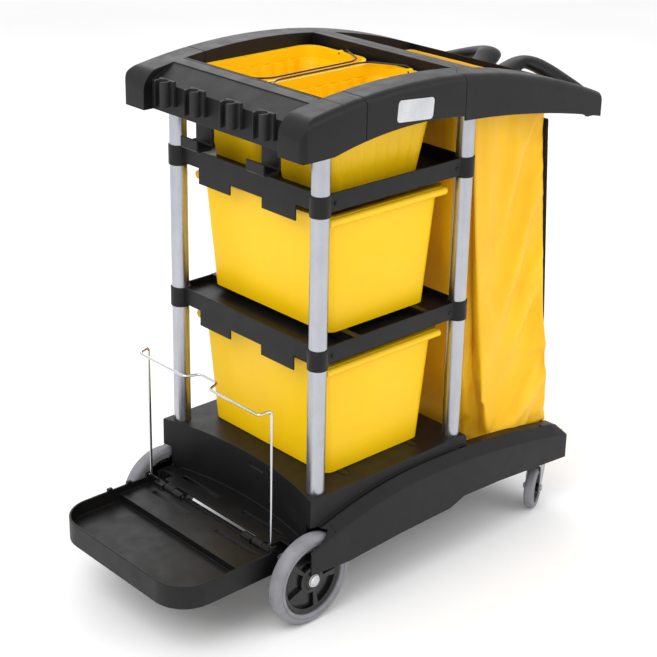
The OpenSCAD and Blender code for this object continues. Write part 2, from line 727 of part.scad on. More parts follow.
module upper_shelf() {
  shelf(top_z, 22, false);
}

module shelf_screws() {
  color(zinc) for (rim_z = [mid_z, top_z]) for (sx = [-1, 1]) translate([sx * (post_x - screw_dx), 0,
      rim_z - apron_h + 17]) mirrored_y() {
    rod_y(screw_r, -shelf_half_y - 1, -shelf_half_y + 12, 24);
    translate([0, -shelf_half_y, 0]) rotate([90, 0, 0]) cylinder(h = 2.4, r1 = 5, r2 = 3.5, $fn = 32);
  }
}

// ---------------------------------------------------------------- hood

front_r = 46;                         // radius of the hood's front top edge
edge_r = 16;                          // radius of the hood's long top edges
corner_r = 14;                        // radius of the hood's front corners in plan
rail_in = half_w - rail_w;            // inner face of a side rail
bucket_front = -post_x + 8;
bucket_back = post_x - 38;
bag_front = post_x + 26;
bag_back = post_x + 277;
bar_back = bag_back + 26;
seam_front = -post_x + 63;
seam_back = post_x - 68;
apron_x = -hood_front_reach + 24;
apron_top = hood_top - 46;            // the front cross rail rises from here to its ridge
slope_x = -post_x - 19;
seam_gap = 0.8;

function hood_high(x) = hood_top - x * x / (2 * crown_r);
function hood_low(x) = x < seam_back ? hood_top - 81 - min(x * x / 1900, 26) : hood_top - 96 - x * x / 4600;

// Side-view outline of the hood; in moves the top, front and back faces inwards
function hood_pts(in, drop) = let(f = -hood_front_reach + in, b = hood_rear_reach - in, r = front_r - in)
  concat(
    [[f, hood_low(f) - drop]],
    arc_pts(f + r, hood_high(f + r) - in - r, r, 180, 95, 7),
    [for (x = [-post_x - 40 : 20 : hood_rear_reach - 12]) if (x > f + r && x < b) [x, hood_high(x) - in]],
    [[b, hood_high(b) - in], [b, hood_low(b) - drop]],
    [for (x = [hood_rear_reach - 30 : -30 : seam_back + 1]) [x, hood_low(x) - drop]],
    [[seam_back + 0.01, hood_low(seam_back + 0.01) - drop], [seam_back - 0.01, hood_low(seam_back - 0.01)
        - drop]],
    [for (x = [seam_back - 25 : -30 : -hood_front_reach + 20]) [x, hood_low(x) - drop]]);

// Blocks that stay open: buckets, bag, tool rail and the room between the handle loops
module hood_openings(grow) {
  lo = top_z;
  hi = hood_top + 50;
  block([bucket_front - grow, -rail_in - grow, lo], [bucket_back + grow, rail_in + grow, hi]);
  block([bag_front - grow, -rail_in - grow, lo], [bag_back + grow, rail_in + grow, hi]);
  block([bar_back - grow, -rail_in - grow, lo], [hood_rear_reach + 50, rail_in + grow, hi]);
  slab_y([[-hood_front_reach - 50, lo], [apron_x + grow, lo], [apron_x + grow, apron_top - grow],
          [slope_x + grow, hood_high(slope_x) - 2 - grow], [slope_x + grow, hi], [-hood_front_reach - 50,
              hi]],
         -rail_in - grow, rail_in + grow);
}

// A convex body under the crown line, rounded along its two long top edges; in moves its faces inwards
module crown(in) {
  x0 = -hood_front_reach - 1;
  x1 = hood_rear_reach + 1;
  hull() for (a = [0 : 30 : 90]) let(side = in + edge_r * (1 - cos(a)), drop = in + edge_r * (1 - sin(a)))
    slab_y(concat([[x1, top_z], [x0, top_z]], [for (i = [0 : 24]) let(x = x0 + (x1 - x0) * i / 24) [x,
        hood_high(x) - drop]]),
           -half_w + side, half_w - side);
}

module hood_whole() {
  plan = concat([[hood_rear_reach + 1, -half_w], [hood_rear_reach + 1, half_w]],
                arc_pts(-hood_front_reach + corner_r, half_w - corner_r, corner_r, 90, 180, 6),
                arc_pts(-hood_front_reach + corner_r, -half_w + corner_r, corner_r, 180, 270, 6));
  difference() {
    intersection() {
      slab_y(hood_pts(0, 0), -half_w, half_w);
      crown(0);
      linear_extrude(height = hood_top + 10) polygon(plan);
    }
    difference() {
      intersection() {
        slab_y(hood_pts(hood_wall, 60), -half_w + hood_wall, half_w - hood_wall);
        crown(hood_wall);
      }
      hood_openings(hood_wall);
      // sockets for the post tops
      for (sx = [-1, 1]) for (sy = [-1, 1]) translate([sx * post_x, sy * post_y, 0])
          cylinder(h = 2 * hood_top, r = collar_r, $fn = 64);
    }
    hood_openings(0);
    for (sx = [-1, 1]) for (sy = [-1, 1]) translate([sx * post_x, sy * post_y, 0])
      cylinder(h = hood_low(0) + hood_seat, r = post_r + fit_gap, $fn = 64);
  }
}

// Plan outline of the seam between the middle and the rear moulding, from left to right
function seam_half(dx) = [[seam_back + dx, half_w + 10], [seam_back + dx, half_w - 30],
  [bucket_back + 13 + dx, rail_in + hood_wall], [bucket_back + 26 + dx, rail_in - 22]];

function seam_pts(dx) = let(h = seam_half(dx)) concat(h, [for (i = [3 : -1 : 0]) [h[i][0], -h[i][1]]]);

module hood_region(pts) {
  linear_extrude(height = 2 * hood_top) polygon(pts);
}

module hood_front() {
  color(black) intersection() {
    hood_whole();
    hood_region([[-hood_front_reach - 10, -half_w - 10], [seam_front - seam_gap / 2, -half_w - 10],
                 [seam_front - seam_gap / 2, half_w + 10], [-hood_front_reach - 10, half_w + 10]]);
  }
}

module hood_middle() {
  x0 = seam_front + seam_gap / 2;
  color(black) difference() {
    intersection() {
      hood_whole();
      hood_region(concat([[x0, -half_w - 10], [x0, half_w + 10]], seam_pts(-seam_gap / 2)));
    }
    at_label() linear_extrude(height = 10) polygon(round_rect(label_l + 0.6, label_h + 0.6, 8.3));
  }
}

module hood_rear() {
  color(black) intersection() {
    hood_whole();
    hood_region(concat([[hood_rear_reach + 10, -half_w - 10], [hood_rear_reach + 10, half_w + 10]],
        seam_pts(seam_gap / 2)));
  }
}

// Butterfly handle: two bars that rise from the rail tips to a hub on the rear cross bar
module handle() {
  r = handle_t / 2;
  peak_z = hood_top - 70;
  tip = [hood_rear_reach - r - 2, half_w - r - 1, hood_high(hood_rear_reach) - r + 5];
  mid = [handle_reach - r - 5, half_w * 0.56, peak_z - r - 16];
  peak = [handle_reach - r, 62, peak_z - r];
  hub = [handle_reach - r - 2, 24, peak_z - r + 2];
  root = [bar_back + 10, 40, hood_high(bar_back) - 16];
  color(black) difference() {
    union() for (s = [-1, 1]) mirror([0, s > 0 ? 1 : 0, 0]) {
      hull() { ball(tip, r); ball(mid, r); }
      hull() { ball(mid, r); ball(peak, r); ball(hub, r - 2); }
      hull() { ball(hub, r - 3); ball(peak, r - 3); ball([root[0], 8, root[2]], 12); ball(root, 12); }
    }
    block([0, -half_w, 0], [bar_back + fit_gap, half_w, 2 * hood_top]);
    mirrored_y() slab_y(concat([for (x = [bar_back : 8 : hood_rear_reach + 1]) [x, hood_high(x) + fit_gap]],
                               [[hood_rear_reach + fit_gap, top_z], [bar_back, top_z]]), -half_w - 5,
                                   -rail_in + fit_gap);
  }
}

module ball(p, r) {
  translate(p) sphere(r = r, $fn = 24);
}

grip_y = [-153, -56, 56, 153];

// Four clips that a tool handle snaps into from the front
module tool_grips() {
  r = tool_d / 2;
  low = apron_top - 41;
  high = apron_top + 12;
  color("#1d1d1e") for (y = grip_y) translate([apron_x - 0.2, y, low]) difference() {
    union() {
      translate([-r - 4, 0, 0]) cylinder(h = high - low, r = r + 4, $fn = 48);
      translate([-8, -24, 0]) cube([8, 48, high - low]);
    }
    translate([-r - 4, 0, -1]) cylinder(h = high - low + 2, r = r, $fn = 48);
    translate([-2 * r - 20, -r + 4, -1]) cube([r + 16, 2 * r - 8, high - low + 2]);
    translate([-2 * r - 14, 0, -1]) rotate([0, 0, 45]) translate([-10, -10, 0]) cube([20, 20,
        high - low + 2]);
  }
}

hook_y = 103;
hook_w = 54;
hook_x = bucket_front - 28;

// Two hooks that hang from the hood's front cross rail
module tool_hooks() {
  high = hood_low(hook_x) + 6;
  low = top_z + 24;
  web = bucket_front - hood_wall - 0.2;
  color(black) for (s = [-1, 1]) slab_y(concat(
    [[hook_x - 5, high], [web - 5, high], [web - 5, high + 24], [web, high + 24], [web, high - 5], [hook_x,
        high - 5]],
    arc_pts(hook_x - 12, low + 12, 12, 0, -90, 4),
    [[hook_x - 40, low], [hook_x - 45, low + 4], [hook_x - 45, low + 26], [hook_x - 40, low + 26],
        [hook_x - 40, low + 6]],
    arc_pts(hook_x - 11, low + 12, 6, -90, 0, 4)), s * hook_y - hook_w / 2, s * hook_y + hook_w / 2);
}

label_l = 100;
label_h = 44;

// The floor of the label's recess in the left rail, facing out
module at_label() {
  translate([-8, -half_w + 1.2, hood_top - 52]) rotate([90, 0, 0]) rotate([0, 0, -5]) children();
}

module label_plate() {
  color("#d9dbdc") at_label() translate([0, 0, 0.1]) linear_extrude(height = 1) polygon(round_rect(label_l,
      label_h, 8));
}

// ---------------------------------------------------------------- buckets and tubs

tub_lx = post_span - post_d - 88;     // tub length between the posts, at the foot
tub_ly = 2 * post_y - 70;
tub_lip = 9;
bucket_lx = bucket_back - bucket_front - 2 * bucket_rake - 30;
bucket_ly = rail_in - 4 - 2 * bucket_draft - 12;
bucket_grown = [bucket_lx + 2 * bucket_rake, bucket_ly + 2 * bucket_draft];
bucket_x = (bucket_front + bucket_back) / 2;
bucket_y = rail_in / 2 + 1;
bucket_z = top_z - 22 + rest_gap;
ear_z = bucket_z + bucket_h - 4;
ear_x = bucket_grown[0] / 2 + 1.5;
ear_half = 3;                         // half thickness of an ear
ear_gap = 0.5;                        // gap between an ear and the bail's leg

// Tapered box with rounded corners, open at the top
module tapered(lx, ly, h, r, grown) {
  linear_extrude(height = h, slices = 1, scale = [grown[0] / lx, grown[1] / ly]) polygon(round_rect(lx, ly,
      r));
}

module tub(z0) {
  band = 8;
  grown = [tub_lx + 2 * tub_rake, tub_ly + 2 * tub_draft];
  rim = [grown[0] + 2 * tub_lip, grown[1] + 2 * tub_lip];
  inner = [tub_lx - 2 * tub_wall, tub_ly - 2 * tub_wall];
  color(yellow) translate([0, 0, z0]) difference() {
    union() {
      tapered(tub_lx, tub_ly, tub_h - band, 22, grown);
      translate([0, 0, tub_h - band]) linear_extrude(height = band) polygon(round_rect(rim[0], rim[1], 26));
      // rolled grip lips on the two long sides
      mirrored_y() translate([0, -rim[1] / 2, tub_h - 10]) rod_x(9, -rim[0] / 2 + 8, rim[0] / 2 - 8, 32);
    }
    translate([0, 0, tub_wall]) tapered(inner[0], inner[1], tub_h - tub_wall + e, 20, grown - [2,
        2] * tub_wall);
    mirrored_y() {
      translate([0, -rim[1] / 2, tub_h - 10]) rod_x(6.5, -rim[0] / 2 + 12, rim[0] / 2 - 12, 32);
      block([-rim[0] / 2 + 12, -rim[1] / 2 - 4, tub_h - 30], [rim[0] / 2 - 12, -grown[1] / 2 - 1,
          tub_h - 11]);
    }
  }
}

module tub_upper() {
  tub(mid_z + 1 + rest_gap);
}

module tub_lower() {
  tub(deck_z + 1 + rest_gap);
}

// Outline with shallow flutes: a rounded rectangle whose long sides carry a row of half waves
function flute(x, l) = abs(x) > l / 2 - 30 ? 0 : 3.2 * pow(abs(cos(x * 180 / 30)), 0.6);

function bucket_pts(lx, ly, r, k) = concat(
  arc_pts(lx / 2 - r, ly / 2 - r, r, 0, 90, 6),
  [for (x = [lx / 2 - r - 6 : -6 : -lx / 2 + r + 5]) [x, ly / 2 - k * flute(x, lx)]],
  arc_pts(-lx / 2 + r, ly / 2 - r, r, 90, 180, 6), arc_pts(-lx / 2 + r, -ly / 2 + r, r, 180, 270, 6),
  [for (x = [-lx / 2 + r + 6 : 6 : lx / 2 - r - 5]) [x, -ly / 2 + k * flute(x, lx)]],
  arc_pts(lx / 2 - r, -ly / 2 + r, r, 270, 360, 6));

module bucket(s) {
  g = bucket_grown;
  w = 2 * tub_wall;
  band = 22;
  color(yellow) translate([bucket_x, s * bucket_y, bucket_z]) difference() {
    union() {
      linear_extrude(height = bucket_h - band, slices = 1, scale = [g[0] / bucket_lx, g[1] / bucket_ly])
        polygon(bucket_pts(bucket_lx, bucket_ly, 30, 1));
      translate([0, 0, bucket_h - band - 2]) linear_extrude(height = band + 2) polygon(round_rect(g[0] + 2,
          g[1] + 2, 38));
      translate([0, 0, bucket_h - 4]) linear_extrude(height = 4) polygon(round_rect(g[0] + 10, g[1] + 10,
          42));
      // ears for the bail
      for (sx = [-1, 1]) translate([sx * (ear_x + 1), 0, bucket_h - 4]) rod_x(7, -ear_half, ear_half, 32);
    }
    translate([0, 0, tub_wall]) linear_extrude(height = bucket_h - band - 2, slices = 1,
                                               scale = [(g[0] - w) / (bucket_lx - w), (g[1] - w)
                                                   / (bucket_ly - w)])
      polygon(bucket_pts(bucket_lx - w, bucket_ly - w, 28, 1));
    translate([0, 0, bucket_h - band - 4]) linear_extrude(height = 60) polygon(round_rect(g[0] - w,
        g[1] - w, 34));
    translate([0, 0, bucket_h - 4]) rod_x(bail_d / 2 + 0.06, -ear_x - 30, ear_x + 30, 32);
  }
}

// Bail: two hooked ends in the ears and a crossbar that lies over the gap between the buckets
module bail(s) {
  r = bail_d / 2;
  z = bucket_z + bucket_h - 4;
  out = ear_x + 1 + ear_half + ear_gap + r;
  over = z + 9;
  near_y = s * (bucket_y - 12);
  far_y = s * (bucket_y - bail_reach + 14);
  bar_y = s * (bucket_y - bail_reach);
  half = [[out - 12, s * bucket_y, z], [out - 6, s * bucket_y, z], [out, s * bucket_y, z], [out, near_y,
      over], [out - 37, far_y, over],
          [out - 61, bar_y, over]];
  color("#3a2a20") translate([bucket_x, 0, 0]) {
    wire(concat([for (q = half) [-q[0], q[1], q[2]]], [for (i = [len(half) - 1 : -1 : 0]) half[i]]),
        r - pin_step, 10);
    for (sx = [0, 1]) mirror([sx, 0, 0]) translate([0, s * bucket_y, z]) rod_x(r, out - 12, out - 5, 32);
  }
}

// ---------------------------------------------------------------- bag

bag_top_front = bag_front + 6;
bag_top_back = bag_back - 6;
bag_top_half = rail_in - 2;
bag_foot_front = post_x + 118;
bag_foot_back = base_reach - 14;
bag_foot_z = bag_floor + rest_gap;
bag_rim_front = hood_low(seam_back + 1) + 16;
bag_rim_back = hood_high(bag_back) - 16;

module bag_form(in) {
  hull() {
    block([bag_foot_front + in, -bag_half_w + in, bag_foot_z + in], [bag_foot_back - in, bag_half_w - in,
        bag_foot_z + in + 1]);
    slab_y([[bag_top_front + in, bag_rim_front - 1], [bag_top_front + in, bag_rim_front + (in > 0 ? 1 : 0)],
            [bag_top_back - in, bag_rim_back + (in > 0 ? 1 : 0)], [bag_top_back - in, bag_rim_back - 1]],
           -bag_top_half + in, bag_top_half - in);
  }
}

module bag() {
  color(yellow) difference() {
    bag_form(0);
    bag_form(bag_wall);
  }
}

zip_y = -bag_half_w + 26;
zip_low = bag_foot_z + 30;
zip_high = hood_low(bag_back) - 26;

function bag_back_x(z) = bag_foot_back + (bag_top_back - bag_foot_back) * (z - bag_foot_z)
    / (bag_rim_back - bag_foot_z);

module bag_zipper() {
  color("#141414") slab_y([[bag_back_x(zip_low) + 0.3, zip_low], [bag_back_x(zip_low) + 2.3, zip_low],
    [bag_back_x(zip_high) + 2.3, zip_high], [bag_back_x(zip_high) + 0.3, zip_high]], zip_y - 9, zip_y + 9);
}

// Slider and pull tab, both parallel to the slanted back of the bag
module zipper_slider() {
  z = zip_high - 12;
  lean = atan((bag_foot_back - bag_top_back) / (bag_rim_back - bag_foot_z));
  color(zinc) translate([bag_back_x(z), zip_y, z]) rotate([0, -lean, 0]) {
    block([3, -5, -10], [8, 5, 6]);
    block([5, -3, -38], [7, 3, -9]);
  }
}

// ---------------------------------------------------------------- assembly

place() base();
place() axle();
place() axle_caps();
for (s = [-1, 1]) {
  side = s < 0 ? "left" : "right";
  place() wheel_tyre(s);
  place() wheel_hub(s);
  place() wheel_bushes(s);
  place() caster_plate(s);
  place() caster_race(s);
  place() caster_fork(s);
  place() caster_axle_bolt(s);
  place() caster_hub(s);
  place() caster_tyre(s);
  place() bucket(s);
  place() bail(s);
}
place() caster_bolts();
place() platform();
place() platform_hinge_pins();
place() platform_wire();
for (i = [0 : 3]) for (tier = ["lower", "middle", "upper"])
  place() post(tier, i < 2 ? -1 : 1,
      i % 2 == 0 ? -1 : 1);
place() middle_shelf();
place() upper_shelf();
place() shelf_screws();
place() hood_front();
place() hood_middle();
place() hood_rear();
place() handle();
place() tool_grips();
place() tool_hooks();
place() label_plate();
place() tub_upper();
place() tub_lower();
place() bag();
place() bag_zipper();
place() zipper_slider();
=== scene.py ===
# %% [markdown]
# # A housekeeping cart
#
# A moulded black base on two large wheels and two casters carries four aluminium posts, two shelves, two
# slide-out tubs, a three-part hood with two buckets, a refuse bag and a fold-down platform. The working
# parts come from the CAD model, which is loaded here as a fixed frame. This lesson gives every part its
# finish, rounds the moulded edges, and models what CAD leaves plain: the bag, the handle, the wheels and
# the zip.

# %% Load the frame
import json
import math

import bmesh
import bpy
from mathutils import Euler, Matrix, Vector, noise

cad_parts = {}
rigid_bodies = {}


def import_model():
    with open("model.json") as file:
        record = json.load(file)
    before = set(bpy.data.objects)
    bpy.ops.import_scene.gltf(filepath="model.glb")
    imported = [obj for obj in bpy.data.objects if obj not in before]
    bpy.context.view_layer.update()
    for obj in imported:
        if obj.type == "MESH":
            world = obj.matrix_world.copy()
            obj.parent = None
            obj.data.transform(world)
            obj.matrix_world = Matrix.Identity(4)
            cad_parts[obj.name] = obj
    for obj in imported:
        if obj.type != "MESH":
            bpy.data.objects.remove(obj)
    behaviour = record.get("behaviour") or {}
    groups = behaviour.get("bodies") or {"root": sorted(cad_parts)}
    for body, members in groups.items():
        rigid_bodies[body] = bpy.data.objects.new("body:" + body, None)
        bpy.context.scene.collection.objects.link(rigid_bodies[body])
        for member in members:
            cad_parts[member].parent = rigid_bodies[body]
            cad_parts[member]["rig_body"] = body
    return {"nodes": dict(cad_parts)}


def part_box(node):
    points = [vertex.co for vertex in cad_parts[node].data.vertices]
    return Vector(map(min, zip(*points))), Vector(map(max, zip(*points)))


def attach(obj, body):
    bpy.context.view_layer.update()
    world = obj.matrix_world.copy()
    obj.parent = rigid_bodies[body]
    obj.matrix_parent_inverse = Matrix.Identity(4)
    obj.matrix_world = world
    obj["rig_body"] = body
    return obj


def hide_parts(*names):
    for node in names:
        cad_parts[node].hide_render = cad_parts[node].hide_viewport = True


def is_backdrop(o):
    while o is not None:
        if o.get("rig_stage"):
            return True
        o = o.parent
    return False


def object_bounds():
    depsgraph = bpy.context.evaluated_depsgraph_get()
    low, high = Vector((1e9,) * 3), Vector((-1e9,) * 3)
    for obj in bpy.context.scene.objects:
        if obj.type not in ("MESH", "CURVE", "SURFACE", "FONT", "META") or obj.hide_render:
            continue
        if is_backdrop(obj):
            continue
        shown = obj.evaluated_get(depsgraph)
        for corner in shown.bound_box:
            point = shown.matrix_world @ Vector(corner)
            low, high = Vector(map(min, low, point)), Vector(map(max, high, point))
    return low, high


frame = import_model()
cad_low, cad_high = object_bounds()
mm = 0.001
nodes = frame["nodes"]
print(len(nodes), "CAD nodes, overall", [round(s / mm) for s in cad_high - cad_low], "mm")

# %% [markdown]
# ## Camera, light and floor
#
# A product shot of a cart is taken from above the front left corner with a long lens, which keeps uprights
# almost parallel. The room is a white sweep. A white sky would be enough to light it, but it leaves round
# tubes flat, so three large soft lamps add a direction: the strongest overhead and to the left, and weaker
# ones on the right and behind.

# %% Camera
scene = bpy.context.scene
camera_at = Vector((-2.1735, -2.319, 1.875))
camera_down = 21.09      # degrees below the horizon
camera_turn = -42.29     # degrees about the vertical, from +Y
camera_roll = 0.84       # degrees
lens = bpy.data.cameras.new("camera")
lens.sensor_width = 36   # mm
lens.lens = 86.2         # mm
lens.shift_x = 0.0341
lens.shift_y = -0.0946
camera = bpy.data.objects.new("camera", lens)
scene.collection.objects.link(camera)
level = Euler((math.radians(90 - camera_down), 0, math.radians(camera_turn))).to_matrix()
roll = Matrix.Rotation(math.radians(camera_roll), 3, "Z")
camera.matrix_world = Matrix.Translation(camera_at) @ (level @ roll).to_4x4()
scene.camera = camera
print("camera", round((camera_at - (cad_low + cad_high) / 2).length, 2), "m from the cart's middle")


# %% Soft lamps and a white sky
def soft_lamp(name, place, power, width):
    """A square area lamp that points at the middle of the cart."""
    data = bpy.data.lights.new(name, "AREA")
    data.energy = power
    data.size = width
    lamp = bpy.data.objects.new(name, data)
    lamp.location = place
    aim = (cad_low + cad_high) / 2 - lamp.location
    lamp.rotation_euler = aim.to_track_quat("-Z", "Y").to_euler()
    scene.collection.objects.link(lamp)
    return lamp


soft_lamp("key lamp", Vector((-2.6, -0.6, 3.4)), 62, 2.6)
soft_lamp("side lamp", Vector((1.8, -3.2, 2.4)), 26, 2.4)
soft_lamp("back lamp", Vector((1.6, 2.8, 3.0)), 30, 2.4)
sky = bpy.data.worlds.new("white studio")
sky.use_nodes = True
sky.node_tree.nodes["Background"].inputs["Color"].default_value = (1, 1, 1, 1)
sky.node_tree.nodes["Background"].inputs["Strength"].default_value = 1.0
scene.world = sky
scene.view_settings.view_transform = "Standard"

# %% [markdown]
# ## Materials
#
# Colours are written as the sRGB hex values that a paint chart would give, and one function turns them into
# the linear numbers that a shader needs. One more function adds a node to a material. Patterns follow
# Object coordinates, which are metres here, so a noise of scale 1000 / size has grains of that size in
# millimetres.


# %% Two helpers for every material
def linear(colour):
    """An sRGB hex colour as linear red, green, blue and alpha."""
    parts = [int(colour[i:i + 2], 16) / 255 for i in (1, 3, 5)]
    return [c / 12.92 if c <= 0.04045 else ((c + 0.055) / 1.055) ** 2.4 for c in parts] + [1]


def add(material, kind, inputs=None, **settings):
    """Adds a node. Each input is a value, or another node's output to link."""
    tree = material.node_tree
    made = tree.nodes.new(kind)
    for name, value in settings.items():
        setattr(made, name, value)
    for name, value in (inputs or {}).items():
        if isinstance(value, bpy.types.NodeSocket):
            tree.links.new(value, made.inputs[name])
        else:
            made.inputs[name].default_value = value
    return made


def per(size):
    """The scale of a pattern whose grains are size millimetres wide."""
    return 1 / (size * mm)


def new_material(name, **shader):
    """A material with its Principled shader's fixed values, its shader node and its Object coordinates."""
    material = bpy.data.materials.new(name)
    material.use_nodes = True
    principled = material.node_tree.nodes["Principled BSDF"]
    for socket, value in shader.items():
        principled.inputs[socket.replace("_", " ")].default_value = value
    where = add(material, "ShaderNodeTexCoord").outputs["Object"]
    return material, principled, where


def blend_of(material, share, low, high):
    """A colour that runs from low to high, two hex colours, as share goes from 0.3 to 0.7."""
    ramp = add(material, "ShaderNodeValToRGB", {"Fac": share})
    ramp.color_ramp.elements[0].position = 0.3
    ramp.color_ramp.elements[0].color = linear(low)
    ramp.color_ramp.elements[1].position = 0.7
    ramp.color_ramp.elements[1].color = linear(high)
    return ramp.outputs["Color"]


def cloudy(material, where, size, detail=3):
    """A noise whose clouds are size millimetres wide."""
    made = add(material, "ShaderNodeTexNoise", {"Vector": where, "Scale": per(size), "Detail": detail})
    return made.outputs["Fac"]


def spread(material, share, low, high):
    """A number that runs from low to high as share goes from 0.3 to 0.7."""
    node = add(material, "ShaderNodeMapRange", {"Value": share, "From Min": 0.3, "From Max": 0.7,
                                                 "To Min": low, "To Max": high})
    return node.outputs["Result"]


def raised(material, height, depth, below=None):
    """A bump of depth millimetres where height is 1, on top of another bump if there is one."""
    inputs = {"Height": height, "Strength": 1, "Distance": depth * mm}
    if below is not None:
        inputs["Normal"] = below
    return add(material, "ShaderNodeBump", inputs).outputs["Normal"]


def wire_up(material, principled, **links):
    """Links outputs to the shader's sockets, whose spaces are written as underlines."""
    for socket, output in links.items():
        material.node_tree.links.new(output, principled.inputs[socket.replace("_", " ")])
    return material


print("helpers for materials are ready")

# %% [markdown]
# ### Moulded plastics
#
# The base, shelves and hood are structural-foam polyethylene, moulded in black with a fine leather-like
# texture. It looks satin: a broad soft highlight, and a painted highlight makes its sharp edges a little
# paler. The tubs and buckets are smooth polypropylene, whose colour seems to come from just below the
# surface, so they get a little subsurface scattering and a tighter highlight.


# %% Moulded black and yellow
def moulded(name, dark, pale, rough, grain, depth, painted_edge_highlight=None, **shader):
    """A moulded plastic: cloudy colour, uneven gloss, a texture of grain mm grains, maybe a painted edge
    highlight.
    """
    material, principled, where = new_material(name, **shader)
    cloud = cloudy(material, where, 140)
    colour = blend_of(material, cloud, dark, pale)
    # Sharp edges, where pointiness is high, are painted paler: a painted highlight along the edges.
    if painted_edge_highlight:
        edge = add(material, "ShaderNodeNewGeometry").outputs["Pointiness"]
        edge_highlight_mask = add(material, "ShaderNodeMapRange", {"Value": edge, "From Min": 0.52, "From Max": 0.62,
                                                    "To Min": 0.0, "To Max": 0.55})
        mix = add(material, "ShaderNodeMix", {"Factor": edge_highlight_mask.outputs["Result"], 6: colour, 7: linear(painted_edge_highlight)},
                  data_type="RGBA")
        colour = mix.outputs[2]
    gloss = spread(material, cloudy(material, where, 35), rough - 0.05, rough + 0.06)
    texture = cloudy(material, where, grain, 1)
    wave = raised(material, cloudy(material, where, 60, 1), 0.25)
    bump = raised(material, texture, depth, wave)
    return wire_up(material, principled, Base_Color=colour, Roughness=gloss, Normal=bump)


# The real texture's grains are about 0.4 mm, too fine to show here, so they are drawn at 1.6 mm.
# The black polyethylene's sharp edges get a painted highlight in #262628.
black_polyethylene = moulded("moulded black polyethylene", "#0d0d0e", "#131213", 0.44, 1.6, 0.05,
                             painted_edge_highlight="#262628", IOR=1.45, Specular_IOR_Level=0.3)
yellow_polypropylene = moulded("moulded yellow polypropylene", "#f6c400", "#fbca02", 0.38, 2.2, 0.02,
                               IOR=1.49, Specular_IOR_Level=0.35, Subsurface_Weight=0.03,
                                Subsurface_Scale=0.004)
glossy_black = moulded("polished black polypropylene", "#0b0b0c", "#101011", 0.24, 4, 0.01, IOR=1.49)
grip_rubber = moulded("moulded black rubber", "#141415", "#1b1b1c", 0.62, 1.6, 0.08, IOR=1.5)
white_acetal = moulded("moulded acetal", "#cfcabd", "#dcd8cc", 0.35, 3, 0.01, IOR=1.48)
print("plastics:", black_polyethylene.name, "and", yellow_polypropylene.name)

# %% [markdown]
# ### Grey tyre rubber
#
# The tyres are non-marking thermoplastic rubber, grey with a dull sheen. On the real tyre the tread picks up
# a little darker dirt and the flanks stay paler; here the grey only wanders in soft darker and paler clouds.

# %% Tyre rubber
tyre_rubber, tyre_shader, tyre_where = new_material("grey non-marking rubber", IOR=1.5,
                                                    Specular_IOR_Level=0.35)
tyre_cloud = cloudy(tyre_rubber, tyre_where, 30, 5)
wire_up(tyre_rubber, tyre_shader,
        Base_Color=blend_of(tyre_rubber, tyre_cloud, "#76767b", "#88888d"),
        Roughness=spread(tyre_rubber, tyre_cloud, 0.5, 0.66),
        Normal=raised(tyre_rubber, cloudy(tyre_rubber, tyre_where, 2, 2), 0.06))
print("rubber:", tyre_rubber.name)

# %% [markdown]
# ### Metals
#
# The posts are drawn and clear-anodised aluminium: faint lines run along each tube, which a noise gives
# when it is stretched along Z. The casters' forks are zinc-plated steel with a cloudy grey bloom. The
# platform's hoop is bright chrome wire, and the buckets' bails are brown-coated wire.


# %% Anodised, plated and coated metals
def drawn(name, dark, pale, rough, stretch, line, depth, **shader):
    """A drawn, rolled or brushed metal whose lines, line mm wide, run along the axis with the low stretch."""
    material, principled, where = new_material(name, Metallic=1.0, **shader)
    turned = add(material, "ShaderNodeMapping", {"Vector": where, "Scale": stretch}).outputs["Vector"]
    lines = cloudy(material, turned, line, 2)
    cloud = cloudy(material, where, 45)
    return wire_up(material, principled, Base_Color=blend_of(material, cloud, dark, pale),
                   Roughness=spread(material, lines, rough - 0.06, rough + 0.08),
                   Normal=raised(material, lines, depth))


anodised_aluminium = drawn("clear anodised aluminium", "#aeb0b7", "#b6b8be", 0.30, (1, 1, 0.02), 1.2, 0.01)
brushed_aluminium = drawn("brushed aluminium", "#c2c4c8", "#d8dadd", 0.3, (0.03, 1, 1), 1.0, 0.03)
zinc_steel = drawn("zinc-plated steel", "#8d9294", "#a9aeb1", 0.36, (1, 1, 1), 6, 0.03)
dark_steel = drawn("black zinc-plated steel", "#242527", "#343537", 0.45, (1, 1, 1), 6, 0.03)
chrome_wire = drawn("chrome-plated wire", "#c4c7cb", "#d6d8dc", 0.14, (1, 1, 0.1), 3, 0.01)
bail_wire = moulded("brown-coated wire", "#180e09", "#241710", 0.36, 2, 0.03, IOR=1.5)
print("metals:", anodised_aluminium.name, "and", zinc_steel.name)

# %% [markdown]
# ### Coated bag cloth
#
# The bag is a woven polyester coated with vinyl. The coating is nearly flat and slightly shiny, the weave
# shows through it as a fine grid, and the cloth keeps small soft creases. The real threads are about 0.6 mm
# apart; the grid is drawn at 2.4 mm, as coarse as it needs to be to show. It follows the piece's own UV
# map, which is laid out in metres.


